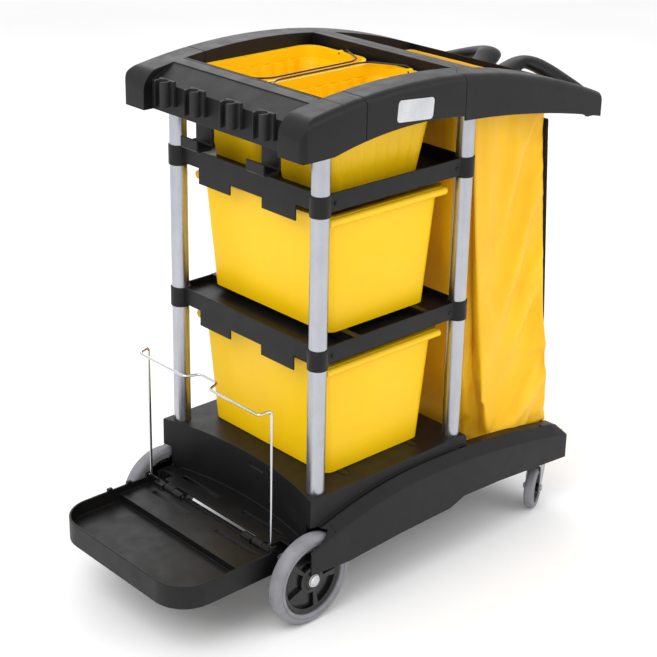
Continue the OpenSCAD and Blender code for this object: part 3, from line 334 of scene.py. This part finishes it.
# %% Vinyl-coated cloth and zip tape
def woven(name, dark, pale, rough, thread, depth, crease, **shader):
    """A coated cloth: two crossed waves of threads on the UV map, and soft creases crease mm deep."""
    material, principled, where = new_material(name, **shader)
    flat = add(material, "ShaderNodeUVMap", uv_map="cloth").outputs["UV"]
    threads = {"Vector": flat, "Scale": per(thread) / 20}
    warp = add(material, "ShaderNodeTexWave", threads, bands_direction="X")
    weft = add(material, "ShaderNodeTexWave", threads, bands_direction="Y")
    weave = add(material, "ShaderNodeMath", {0: warp.outputs["Fac"], 1: weft.outputs["Fac"]},
                operation="MAXIMUM")
    stretched = add(material, "ShaderNodeMapping", {"Vector": where, "Scale": (1, 1, 0.35)}).outputs["Vector"]
    creased = raised(material, cloudy(material, stretched, 70, 3), crease)
    colour = blend_of(material, cloudy(material, where, 120, 4), dark, pale)
    return wire_up(material, principled, Base_Color=colour,
                   Roughness=spread(material, cloudy(material, where, 25), rough - 0.05, rough + 0.07),
                   Normal=raised(material, weave.outputs[0], depth, creased))


bag_vinyl = woven("vinyl-coated polyester", "#f0b400", "#f8c002", 0.45, 2.4, 0.05, 2.6,
                  IOR=1.5, Specular_IOR_Level=0.35, Sheen_Weight=0.08, Subsurface_Weight=0.06,
                  Subsurface_Scale=0.004)
zip_tape = moulded("black polyester zip tape", "#0c0c0c", "#161616", 0.8, 1.4, 0.15)
print("cloth:", bag_vinyl.name)

# %% [markdown]
# ## Floor
#
# The floor is a pale seamless sweep. It isn't part of the cart, so it is marked as stage.

# %% Floor
pale_floor, floor_shader, floor_where = new_material("white painted sweep", Specular_IOR_Level=0.1)
wire_up(pale_floor, floor_shader,
        Base_Color=blend_of(pale_floor, cloudy(pale_floor, floor_where, 900), "#f6f6f6", "#fafafa"),
        Roughness=spread(pale_floor, cloudy(pale_floor, floor_where, 200), 0.8, 0.9))
floor_bm = bmesh.new()
bmesh.ops.create_grid(floor_bm, x_segments=1, y_segments=1, size=30)
floor_mesh = bpy.data.meshes.new("floor")
floor_bm.to_mesh(floor_mesh)
floor_bm.free()
floor_mesh.materials.append(pale_floor)
floor = bpy.data.objects.new("floor", floor_mesh)
floor.location.z = -0.0005
scene.collection.objects.link(floor)
floor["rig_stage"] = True
print("floor laid")

# %% [markdown]
# ## Rounded mouldings
#
# CAD leaves its edges sharp, and a moulding never has a sharp edge: each one catches a thin line of light.
# A copy of a CAD node is joined into whole faces, its sharp edges get a real bevel, and the copy stands for
# the node. The Bevel modifier could do this too, but the operator lets each part choose which edges to
# round, and by how much.


# %% Helpers: a joined copy, eased edges, and a finished piece
def joined(node):
    """A CAD node's mesh with its loose triangles merged into flat faces."""
    bm = bmesh.new()
    bm.from_mesh(nodes[node].data)
    bmesh.ops.remove_doubles(bm, verts=bm.verts, dist=0.01 * mm)
    bmesh.ops.dissolve_limit(bm, angle_limit=math.radians(0.6), verts=bm.verts, edges=bm.edges)
    return bm


def ease(bm, width, turn=32, only=None):
    """Rounds the edges whose two faces turn by over turn degrees; only(middle) may choose among them."""
    edges = [e for e in bm.edges if len(e.link_faces) == 2 and e.calc_face_angle(0) > math.radians(turn)
             and (only is None or only((e.verts[0].co + e.verts[1].co) / 2))]
    bmesh.ops.bevel(bm, geom=edges, offset=width * mm, offset_type="OFFSET", segments=3, profile=0.5,
                    affect="EDGES", clamp_overlap=False, material=-1)
    bmesh.ops.remove_doubles(bm, verts=bm.verts, dist=0.005 * mm)
    return len(edges)


def piece(name, bm, material, body, stands_for=(), smooth=38):
    """Turns a bmesh into a finished piece that rides on a body, smoothed below that many degrees."""
    mesh = bpy.data.meshes.new(name)
    bm.to_mesh(mesh)
    bm.free()
    mesh.materials.append(material)
    mesh.shade_smooth()
    mesh.set_sharp_from_angle(angle=math.radians(smooth))
    obj = bpy.data.objects.new(name, mesh)
    scene.collection.objects.link(obj)
    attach(obj, body)
    if stands_for:
        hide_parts(*stands_for)
    return obj


def arc(cx, cy, radius, start, end, steps):
    """Points of an arc in millimetres, its angles in degrees."""
    turns = [math.radians(start + (end - start) * i / steps) for i in range(steps + 1)]
    return [(cx + radius * math.cos(t), cy + radius * math.sin(t)) for t in turns]


def body_of(node):
    """The CAD body that a node belongs to."""
    return nodes[node]["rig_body"]


def rounded(node, material, slot, width=1.0, **how):
    """A joined copy of a CAD node with its edges eased, which stands for the node."""
    bm = joined(node)
    count = ease(bm, width, **how) if width else 0
    made = piece(node + "_moulding", bm, material, body_of(node), [node])
    flatten = made.modifiers.new("even shading", "WEIGHTED_NORMAL")
    flatten.keep_sharp = True
    return made, count


print("helpers for mouldings are ready")

# %% [markdown]
# The mouldings differ in how soft their edges are. The base and the hood have the softest, about 1.6 mm,
# and the shelves and hooks get a little less. The width of each bevel, in millimetres, stands beside its
# material.

# %% Round the black mouldings and the label plate
MOULDINGS = {
    "base": (black_polyethylene, "black_plastic", 1.6),
    "platform": (black_polyethylene, "black_plastic", 1.4),
    "middle_shelf": (black_polyethylene, "black_plastic", 1.2),
    "upper_shelf": (black_polyethylene, "black_plastic", 1.2),
    "hood_front": (black_polyethylene, "black_plastic", 1.6),
    "hood_middle": (black_polyethylene, "black_plastic", 1.2),
    "hood_rear": (black_polyethylene, "black_plastic", 1.4),
    "tool_hooks": (black_polyethylene, "black_plastic", 1.0),
    "tool_grips": (grip_rubber, "grip_rubber", 0.8),
    "label_plate": (brushed_aluminium, "label_aluminium", 0.3),
}
for node, (material, slot, width) in MOULDINGS.items():
    made, count = rounded(node, material, slot, width)
    print(node, "has", count, "eased edges")

# %% [markdown]
# A tub's and a bucket's walls are too thin for a bevel on every edge, so only the top edges of their rims
# are eased. The CAD bucket's wall has a row of slits, 2 mm high, where its flutes end below the rim. A
# moulded bucket has none, so a narrow ring inside the wall closes them.

# %% Tubs and buckets with eased rims
for node in ("tub_upper", "tub_lower", "bucket_left", "bucket_right"):
    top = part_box(node)[1].z
    vessel = joined(node)
    count = ease(vessel, 0.8, only=lambda p: p.z > top - 0.5 * mm)
    piece(node + "_moulding", vessel, yellow_polypropylene, body_of(node), [node],
          smooth=32)
    print(node, "has", count, "eased edges")

# %% Rings behind the buckets' slits
RING_TOP = 4.0           # mm above the ring's foot
RING_FOOT = 29.5         # mm below the ears' top, which is the bucket's highest point
RING_CORNER = 36         # mm, the corners' radius
RING_INNER = 7.6         # mm from the rim's outer edge to the ring's inner face
RING_OUTER = 5.3         # mm from the rim's outer edge to the ring's outer face
EARS = 0.5               # mm by which the two ears stick out past the rim at each end
for node in ("bucket_left", "bucket_right"):
    bucket_low, bucket_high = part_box(node)
    middle = (bucket_low + bucket_high) / 2
    half = (bucket_high - bucket_low) / 2 / mm
    ring = bmesh.new()
    levels = []
    for inset, height in ((RING_INNER, 0), (RING_INNER, RING_TOP), (RING_OUTER, RING_TOP), (RING_OUTER, 0)):
        corner_x = half.x - EARS - inset - RING_CORNER
        corner_y = half.y - inset - RING_CORNER
        z = bucket_high.z + (height - RING_FOOT) * mm
        loop = []
        for a, b, start in ((1, 1, 0), (-1, 1, 90), (-1, -1, 180), (1, -1, 270)):
            for x, y in arc(a * corner_x, b * corner_y, RING_CORNER, start, start + 90, 8):
                loop.append(ring.verts.new((middle.x + x * mm, middle.y + y * mm, z)))
        levels.append(loop)
    for one, other in zip(levels, levels[1:] + levels[:1]):
        for i in range(len(one)):
            ring.faces.new((one[i - 1], one[i], other[i], other[i - 1]))
    bmesh.ops.recalc_face_normals(ring, faces=ring.faces)
    piece(node + "_ring", ring, yellow_polypropylene, body_of(node), ())
print("two rings,", round(2 * half.x), "x", round(2 * half.y), "mm over the buckets")

# %% [markdown]
# The platform hinges a finger's width in front of the base's ledge. A thin black apron on the base fills part
# of that gap in the middle, below the platform's sweep. A bright strip still shows beside the hinge.

# %% Apron behind the hinge
apron_low = Vector((-323.0, -100.0, 150.0)) * mm
apron_size = Vector((11.0, 200.0, 3.0)) * mm
apron = bmesh.new()
bmesh.ops.create_cube(apron, size=1, matrix=Matrix.Translation(apron_low + apron_size / 2)
                      @ Matrix.Diagonal((*apron_size, 1)))
ease(apron, 0.8)
piece("base_apron", apron, black_polyethylene, body_of("base"), ())
print("apron is", round(apron_size.x / mm), "mm deep")

# %% [markdown]
# Turned and pressed metal parts are small, and their edges are broken by only a few tenths of a millimetre.
# The wires have no edges to ease: a copy with smooth shading makes their ten sides look round.

# %% Metal parts
METAL = {"axle": zinc_steel, "axle_caps": chrome_wire, "caster_bolts": zinc_steel, "shelf_screws": dark_steel,
         "platform_hinge_pins": zinc_steel, "zipper_slider": zinc_steel}
for side in ("left", "right"):
    for part in ("plate", "race", "fork", "axle_bolt"):
        METAL[f"caster_{side}_{part}"] = zinc_steel
for node, material in METAL.items():
    slot = "chrome_wire" if material is chrome_wire else "zinc_steel"
    rounded(node, material, slot, 0.4)
for node in nodes:
    if node.startswith("post_"):
        rounded(node, anodised_aluminium, "tube_aluminium", 0.3, turn=60)
for node, material, slot in (("platform_wire", chrome_wire, "chrome_wire"),
                             ("bail_left", bail_wire, "bail_wire"),
                             ("bail_right", bail_wire, "bail_wire")):
    wire = piece(node + "_bent", joined(node), material, body_of(node), [node], smooth=60)
    print(node, len(wire.data.polygons), "faces")

# %% [markdown]
# ## Wheels
#
# A tyre is a turned shape, so it is spun from one outline. On the real wheel the tread is narrower than the
# flanks, and a thin groove on each flank marks where the mould parts. The hub is spun as well, and its five
# deep pockets are made where they are on the real hub: the web's faces are inset and pushed inwards, which
# leaves five spokes.


# %% Helpers: spin an outline about the wheel's axis
def spun(outline, centre, steps):
    """A closed shape spun about Y through centre, from points (radius, y) in millimetres."""
    bm = bmesh.new()
    loop = [bm.verts.new(centre + Vector((r * mm, y * mm, 0))) for r, y in outline]
    edges = [bm.edges.new((a, b)) for a, b in zip(loop, loop[1:] + loop[:1])]
    bmesh.ops.spin(bm, geom=loop + edges, cent=centre, axis=(0, 1, 0), angle=math.tau, steps=steps,
                   use_merge=True)
    bmesh.ops.remove_doubles(bm, verts=bm.verts, dist=0.02 * mm)
    bmesh.ops.recalc_face_normals(bm, faces=bm.faces)
    return bm


def middle_of(node):
    """The middle of a CAD node's box, and its size in millimetres."""
    low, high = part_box(node)
    return (low + high) / 2, (high - low) / mm


def tyre_outline(radius, inner, half, shoulder):
    """A tyre's section: flat inside, a groove on each flank, a round shoulder and a crowned tread."""
    groove = radius - shoulder - 3.5
    flank = [(inner, half - 3)] + arc(inner + 3, half - 3, 3, 180, 90, 3)
    flank += [(groove - 1.2, half), (groove - 0.6, half - 1.1), (groove + 0.6, half - 1.1),
              (groove + 1.2, half)]
    flank += arc(radius - shoulder, half - shoulder, shoulder, 90, 12, 6)
    return flank + [(radius, 0)] + [(r, -y) for r, y in reversed(flank)]


print("helpers for wheels are ready")

# %% Tyres
for side in ("left", "right"):
    node = f"wheel_{side}_tyre"
    centre, size = middle_of(node)
    radius = size.z / 2
    hub_radius = radius * 0.76
    tyre = spun(tyre_outline(radius, hub_radius, size.y / 2, 12), centre, 96)
    piece(node + "_moulding", tyre, tyre_rubber, body_of(node), [node], smooth=50)
    node = f"caster_{side}_tyre"
    piece(node + "_moulding", joined(node), tyre_rubber, body_of(node), [node], smooth=50)
    rounded(f"caster_{side}_hub", glossy_black, "black_plastic", 0.5)
    rounded(f"wheel_{side}_bushes", white_acetal, "bush_plastic", 0.3)
print("large tyre radius", round(radius, 1), "mm")


# %% Hubs with five pockets on each face
def pocketed_hub(node, radius, pockets=5):
    """A wheel hub: rim, hub barrel and a web, with deep pockets between the spokes on both faces."""
    centre, size = middle_of(node)
    half = size.y / 2
    barrel = 19              # radius, mm
    spokeless = 0.8          # share of each fifth of the face that its pocket takes
    pocket_depth = 8         # mm
    outline = [(barrel - 8, half), (barrel - 1, half), (barrel, half - 1), (barrel + 3, half - 5),
               (30, half - 6), (radius - 10, half - 8), (radius - 6, half - 5.5), (radius - 1, half - 4.5)]
    outline += [(r, -y) for r, y in reversed(outline)]
    bm = spun(outline, centre, 60)
    for face_side in (1, -1):
        for i in range(pockets):
            chosen = []
            for face in bm.faces:
                at = (face.calc_center_median() - centre) / mm
                reach = math.hypot(at.x, at.z)
                turn = (math.degrees(math.atan2(at.z, at.x)) / 360 * pockets - i) % pockets
                if at.y * face_side > 4 and 29 < reach < radius - 9 and turn < spokeless:
                    chosen.append(face)
            bmesh.ops.inset_region(bm, faces=chosen, thickness=2 * mm, use_even_offset=True)
            bmesh.ops.translate(bm, vec=(0, -face_side * pocket_depth * mm, 0),
                                verts=list({v for face in chosen for v in face.verts}))
    return piece(node + "_moulding", bm, glossy_black, body_of(node), [node], smooth=30)


for side in ("left", "right"):
    hub = pocketed_hub(f"wheel_{side}_hub", hub_radius - 0.4)
    print(hub.name, len(hub.data.polygons), "faces")

# %% [markdown]
# ## Handle
#
# The handle is one hollow moulding: two bars rise from the tips of the side rails, meet the cross bar
# behind the bag in two broad feet, and leave a notch between them. Each bar is an oval section swept along
# a path. The overlapping sweeps are then melted into one skin by a voxel Remesh and relaxed by a Smooth
# modifier, which gives the soft joins of a moulding without drawing every blend.


# %% Helper: sweep an oval along a path
def section_at(path, sizes, i, up):
    """The place, turn and size of a section, as a matrix."""
    ahead = (path[min(i + 1, len(path) - 1)] - path[max(i - 1, 0)]).normalized()
    across = ahead.cross(up).normalized()
    over = across.cross(ahead)
    turn = Matrix((across * sizes[i][0], over * sizes[i][1], ahead)).transposed()
    return Matrix.Translation(path[i]) @ turn.to_4x4()


def sweep(bm, path, sizes, up=Vector((0, 0, 1)), sides=20):
    """Extrudes an oval through a path's points; sizes are half widths and half heights, in metres."""
    circle = bmesh.ops.create_circle(bm, cap_ends=True, segments=sides, radius=1)
    face = circle["verts"][0].link_faces[0]
    place = section_at(path, sizes, 0, up)
    bmesh.ops.transform(bm, matrix=place, verts=circle["verts"])
    for i in range(1, len(path)):
        grown = bmesh.ops.extrude_face_region(bm, geom=[face])
        face = next(g for g in grown["geom"] if isinstance(g, bmesh.types.BMFace))
        following = section_at(path, sizes, i, up)
        bmesh.ops.transform(bm, matrix=following @ place.inverted(), verts=list(face.verts))
        place = following


def smooth_path(points, steps=5):
    """A Catmull-Rom curve through points in metres."""
    ends = [points[0] * 2 - points[1]] + list(points) + [points[-1] * 2 - points[-2]]
    path = []
    for a, b, c, d in zip(ends, ends[1:], ends[2:], ends[3:]):
        for i in range(steps):
            t = i / steps
            path.append(0.5 * (2 * b + (c - a) * t + (2 * a - 5 * b + 4 * c - d) * t * t
                               + (3 * b - a - 3 * c + d) * t ** 3))
    return path + [points[-1]]


print("sweep is ready")

# %% Handle: two bars and their feet, melted together
handle_low, handle_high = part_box("handle")
bar = 19.0               # half thickness of a bar, mm
# Each knot's distances, in mm: inwards from the handle's end, from the middle, and down from its top.
bar_knots = [(50, 258, 88), (34, 242, 78), (21, 203, 64), (20, 156, 47), (21, 110, 32), (26, 74, 22),
             (40, 50, 19), (66, 40, 30), (98, 38, 46)]
bar_width = [1.0, 1.0, 1.0, 1.0, 1.08, 1.25, 1.6, 1.75, 1.75]
bar_height = [1.0, 1.0, 1.0, 0.95, 0.92, 0.85, 0.7, 0.65, 0.7]
handle_bm = bmesh.new()
for side in (-1, 1):
    knots = [Vector((handle_high.x - x * mm, side * y * mm, handle_high.z - z * mm)) for x, y, z in bar_knots]
    path = smooth_path(knots)
    steps = (len(path) - 1) / (len(knots) - 1)
    sizes = []
    for i in range(len(path)):
        k = min(int(i / steps), len(knots) - 2)
        t = i / steps - k
        wide = bar_width[k] + (bar_width[k + 1] - bar_width[k]) * t
        high = bar_height[k] + (bar_height[k + 1] - bar_height[k]) * t
        sizes.append((bar * wide * mm, bar * high * mm))
    sweep(handle_bm, path, sizes)
bridge_knots = [(80, 46), (92, 50), (104, 54)]     # mm, inwards and down, as above
bridge = [Vector((handle_high.x - x * mm, 0, handle_high.z - z * mm)) for x, z in bridge_knots]
sweep(handle_bm, bridge, [(42 * mm, 9 * mm)] * len(bridge))
bmesh.ops.recalc_face_normals(handle_bm, faces=handle_bm.faces)
handle = piece("handle_moulding", handle_bm, black_polyethylene, body_of("handle"), ["handle"],
               60)
melt = handle.modifiers.new("melt", "REMESH")
melt.mode = "VOXEL"
melt.voxel_size = 4 * mm
melt.use_smooth_shade = True
relax = handle.modifiers.new("relax", "SMOOTH")
relax.iterations = 6
relax.factor = 0.5
print("handle", [round(s / mm) for s in handle_high - handle_low], "mm")

# %% [markdown]
# ## Refuse bag
#
# The bag is a sleeve of coated cloth with a flat floor. It hangs inside the rear hood opening and its foot
# stands in the base. It could be modelled as a stiff box with a few pulled vertices, but cloth reads as
# cloth only when its folds come from its own length, so it is simulated: a sleeve with a pleat beside each
# front corner is made a little too long and too wide, pinned along its rim and foot, and left to settle
# under gravity.


# %% Sleeve outlines, measured from the CAD bag
def level_box(node, low_z, high_z):
    """The lowest and highest corners of a CAD node's points between two heights."""
    found = [v.co for v in nodes[node].data.vertices if low_z <= v.co.z <= high_z]
    low = Vector([min(p[i] for p in found) for i in range(3)])
    return low, Vector([max(p[i] for p in found) for i in range(3)])


bag_low, bag_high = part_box("bag")
foot_low, foot_high = level_box("bag", bag_low.z, bag_low.z + 4 * mm)
rim_low, rim_high = level_box("bag", bag_high.z - 30 * mm, bag_high.z)
pleat_depth = 44         # mm
pleat_width = 26         # mm, from the corner to the bottom of the pleat


def half_outline(low, high, depth, inset):
    """A level of the sleeve from the middle of its front round the left side to the middle of its back."""
    front, back, side = low.x + inset * mm, high.x - inset * mm, low.y + inset * mm
    turn = 5 * mm
    fold = pleat_width * mm
    return [(front, 0), (front, side + 2.1 * fold), (front + depth * mm, side + 1.15 * fold),
            (front + turn * 0.5, side + turn), (front + turn, side), (back - turn, side), (back, side + turn),
            (back, 0)]


def whole_outline(half):
    """Both halves of a level, without doubling the two middle points."""
    return half + [(x, -y) for x, y in reversed(half[1:-1])]


foot = whole_outline(half_outline(foot_low, foot_high, 16, 1.5))
rim = whole_outline(half_outline(rim_low, rim_high, pleat_depth, 1.5))
rim_drop = (rim_high.z - rim_low.z) / (rim_high.x - rim_low.x) * 0.4


def rim_height(x):
    """The rim slopes down a little towards the back, with the hood."""
    return rim_high.z - 4 * mm - (x - rim_low.x) * rim_drop


print("bag rim", round((rim_high.x - rim_low.x) / mm), "x", round((rim_high.y - rim_low.y) / mm), "mm")

# %% Sleeve mesh
cloth_step = 13 * mm
sleeve = bmesh.new()
rings = []
for outline, height in ((foot, lambda x: foot_low.z + 1.5 * mm), (rim, rim_height)):
    verts = [sleeve.verts.new((x, y, height(x))) for x, y in outline]
    rings.append([sleeve.edges.new((a, b)) for a, b in zip(verts, verts[1:] + verts[:1])])
bmesh.ops.bridge_loops(sleeve, edges=rings[0] + rings[1])
for low_edge, high_edge in zip(rings[0], rings[1]):
    cuts = max(0, round(max(low_edge.calc_length(), high_edge.calc_length()) / cloth_step) - 1)
    if cuts:
        bmesh.ops.subdivide_edges(sleeve, edges=[low_edge, high_edge], cuts=cuts, use_grid_fill=True)
bag_height = rim_high.z - foot_low.z
uprights = [e for e in sleeve.edges if abs(e.verts[0].co.z - e.verts[1].co.z) > bag_height / 2]
bmesh.ops.subdivide_edges(sleeve, edges=uprights, cuts=round(bag_height / cloth_step), use_grid_fill=True)
bmesh.ops.recalc_face_normals(sleeve, faces=sleeve.faces)
flat_area = sum(f.calc_area() for f in sleeve.faces)
print("sleeve", len(sleeve.faces), "faces,", round(flat_area, 3), "square metres")

# %% [markdown]
# The simulation is kept short and safe. The rim, the foot and the strip that the zip is sewn to are pinned,
# the cloth is 5 % longer than the space it hangs in, and afterwards no point may have moved more than a few
# centimetres from the sleeve, so the bag stays inside the cart and clear of the posts.


# %% Settle the cloth
def settle(bm, frames, growth, reach, held):
    """Simulates a mesh as cloth for some frames and returns it with each point moved at most reach metres."""
    start = [v.co.copy() for v in bm.verts]
    mesh = bpy.data.meshes.new("cloth being settled")
    bm.to_mesh(mesh)
    cloth_object = bpy.data.objects.new("cloth being settled", mesh)
    scene.collection.objects.link(cloth_object)
    pins = cloth_object.vertex_groups.new(name="pins")
    pins.add([i for i, p in enumerate(start) if held(p)], 1.0, "REPLACE")
    cloth = cloth_object.modifiers.new("cloth", "CLOTH")
    cloth.settings.quality = 6
    cloth.settings.mass = 0.25
    cloth.settings.tension_stiffness = 25
    cloth.settings.compression_stiffness = 25
    cloth.settings.shear_stiffness = 12
    cloth.settings.bending_stiffness = 0.6
    cloth.settings.air_damping = 3
    cloth.settings.vertex_group_mass = "pins"
    cloth.settings.shrink_min = -growth
    cloth.collision_settings.use_collision = False
    cloth.point_cache.frame_start = 1
    cloth.point_cache.frame_end = frames
    for number in range(1, frames + 1):
        scene.frame_set(number)
    settled = cloth_object.evaluated_get(bpy.context.evaluated_depsgraph_get())
    moved = [v.co.copy() for v in settled.data.vertices]
    scene.frame_set(1)
    bpy.data.objects.remove(cloth_object)
    furthest = 0
    bm.verts.ensure_lookup_table()
    for v, place, target in zip(bm.verts, start, moved):
        step = target - place
        furthest = max(furthest, step.length)
        if step.length > reach:
            step *= reach / step.length
        v.co = place + step
    return furthest


zip_low, zip_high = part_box("bag_zipper")


def is_held(p):
    """The rim, the foot and the strip behind the zip."""
    by_zip = p.x > (rim_low.x + rim_high.x) / 2 and zip_low.y - 16 * mm < p.y < zip_high.y + 16 * mm
    near_foot = p.z < foot_low.z + 0.6 * cloth_step
    return p.z > rim_height(p.x) - 2.5 * cloth_step or near_foot or (by_zip and p.x > back_at(p.z) - 6 * mm)


def back_at(z):
    """Where the bag's slanting back is at a height."""
    share = (z - foot_low.z) / bag_height
    return foot_high.x + (rim_high.x - foot_high.x) * share


growth = 0.05            # share by which the cloth is larger than its space
furthest = settle(sleeve, 36, growth, 26 * mm, is_held)
print("cloth settled, furthest point moved", round(furthest / mm, 1), "mm")

# %% [markdown]
# The settled sleeve gets its UV map, in metres along and up the cloth, which the weave follows. Its floor
# is filled in, its hem is a second layer over the rim, and a cord of piping covers the seam round the foot.

# %% Bag: UV map, floor and thickness
cloth_map = sleeve.loops.layers.uv.new("cloth")
for face in sleeve.faces:
    sideways = abs(face.normal.y) > abs(face.normal.x)
    for loop in face.loops:
        at = loop.vert.co
        loop[cloth_map].uv = (at.x if sideways else at.y, at.z)
hem_source = sleeve.copy()
floor_edges = [e for e in sleeve.edges if e.is_boundary and e.verts[0].co.z < foot_low.z + 3 * mm]
bmesh.ops.edgeloop_fill(sleeve, edges=floor_edges)
bmesh.ops.recalc_face_normals(sleeve, faces=sleeve.faces)
bag = piece("refuse_bag", sleeve, bag_vinyl, body_of("bag"), ["bag"], 70)
cloth_thickness = 1.2
bag_soft = bag.modifiers.new("soft folds", "SUBSURF")
bag_soft.levels = bag_soft.render_levels = 1
bag_wall = bag.modifiers.new("cloth thickness", "SOLIDIFY")
bag_wall.thickness = cloth_thickness * mm
bag_wall.offset = -1
print("bag", len(bag.data.polygons), "faces")

# %% Hem: a second layer that is turned down over the rim
hem_depth = 44 * mm
outside = []
for face in hem_source.faces:
    at = face.calc_center_median()
    hem_edge = rim_height(at.x) - hem_depth - 6 * mm * noise.noise(at * 20)
    if at.z < hem_edge:
        outside.append(face)
bmesh.ops.delete(hem_source, geom=outside, context="FACES")
for v in hem_source.verts:
    v.normal_update()
out = [(v, v.normal.copy()) for v in hem_source.verts]
for v, normal in out:
    v.co += normal * (2.2 + 1.2 * noise.noise(v.co * 30)) * mm
hem = piece("bag_hem", hem_source, bag_vinyl, body_of("bag"), (), 70)
hem_soft = hem.modifiers.new("soft folds", "SUBSURF")
hem_soft.levels = hem_soft.render_levels = 1
hem_wall = hem.modifiers.new("cloth thickness", "SOLIDIFY")
hem_wall.thickness = 1.6 * mm
hem_wall.offset = -1
print("hem", len(hem.data.polygons), "faces")

# %% Piping round the foot
piping_bm = bmesh.new()
piping_knots = [Vector((x, y, foot_low.z + 4 * mm)) for x, y in foot]
corners = piping_knots + [piping_knots[0]]
sweep(piping_bm, corners, [(2.2 * mm, 2.2 * mm)] * len(corners), sides=10)
piping = piece("bag_piping", piping_bm, bag_vinyl, body_of("bag"), (), 70)

# %% [markdown]
# ## Zip
#
# The zip runs down the back of the bag near its left edge. Its tape is a CAD node with a woven finish; the
# two rows of teeth are too small for CAD and are added here, as small wedges in a row.

# %% Zip teeth
rounded("bag_zipper", zip_tape, "zip_tape", 0)
pitch = 6.0              # mm, three times the real one, so that the teeth show
teeth = bmesh.new()
count = int((zip_high.z - zip_low.z) / mm / pitch)
zip_middle = (zip_low.y + zip_high.y) / 2
for i in range(count):
    z = zip_low.z + (i + 0.5) * pitch * mm
    share = (z - zip_low.z) / (zip_high.z - zip_low.z)
    x = zip_high.x + (zip_low.x - zip_high.x) * share
    y = zip_middle + (1.2 if i % 2 else -1.2) * mm
    tooth = Matrix.Translation((x, y, z)) @ Matrix.Diagonal((1.6 * mm, 3.4 * mm, 3.0 * mm, 1))
    bmesh.ops.create_cube(teeth, size=1, matrix=tooth)
piece("zip_teeth", teeth, glossy_black, body_of("bag_zipper"), (), 30)
print(count, "zip teeth")

# %% [markdown]
# ## Sizes
#
# The visual model's box and the CAD model's box are both printed.

# %% Boxes, and the end
low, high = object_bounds()
print("visual", [round(v / mm) for v in high - low], "mm")
print("CAD", [round(v / mm) for v in cad_high - cad_low], "mm")
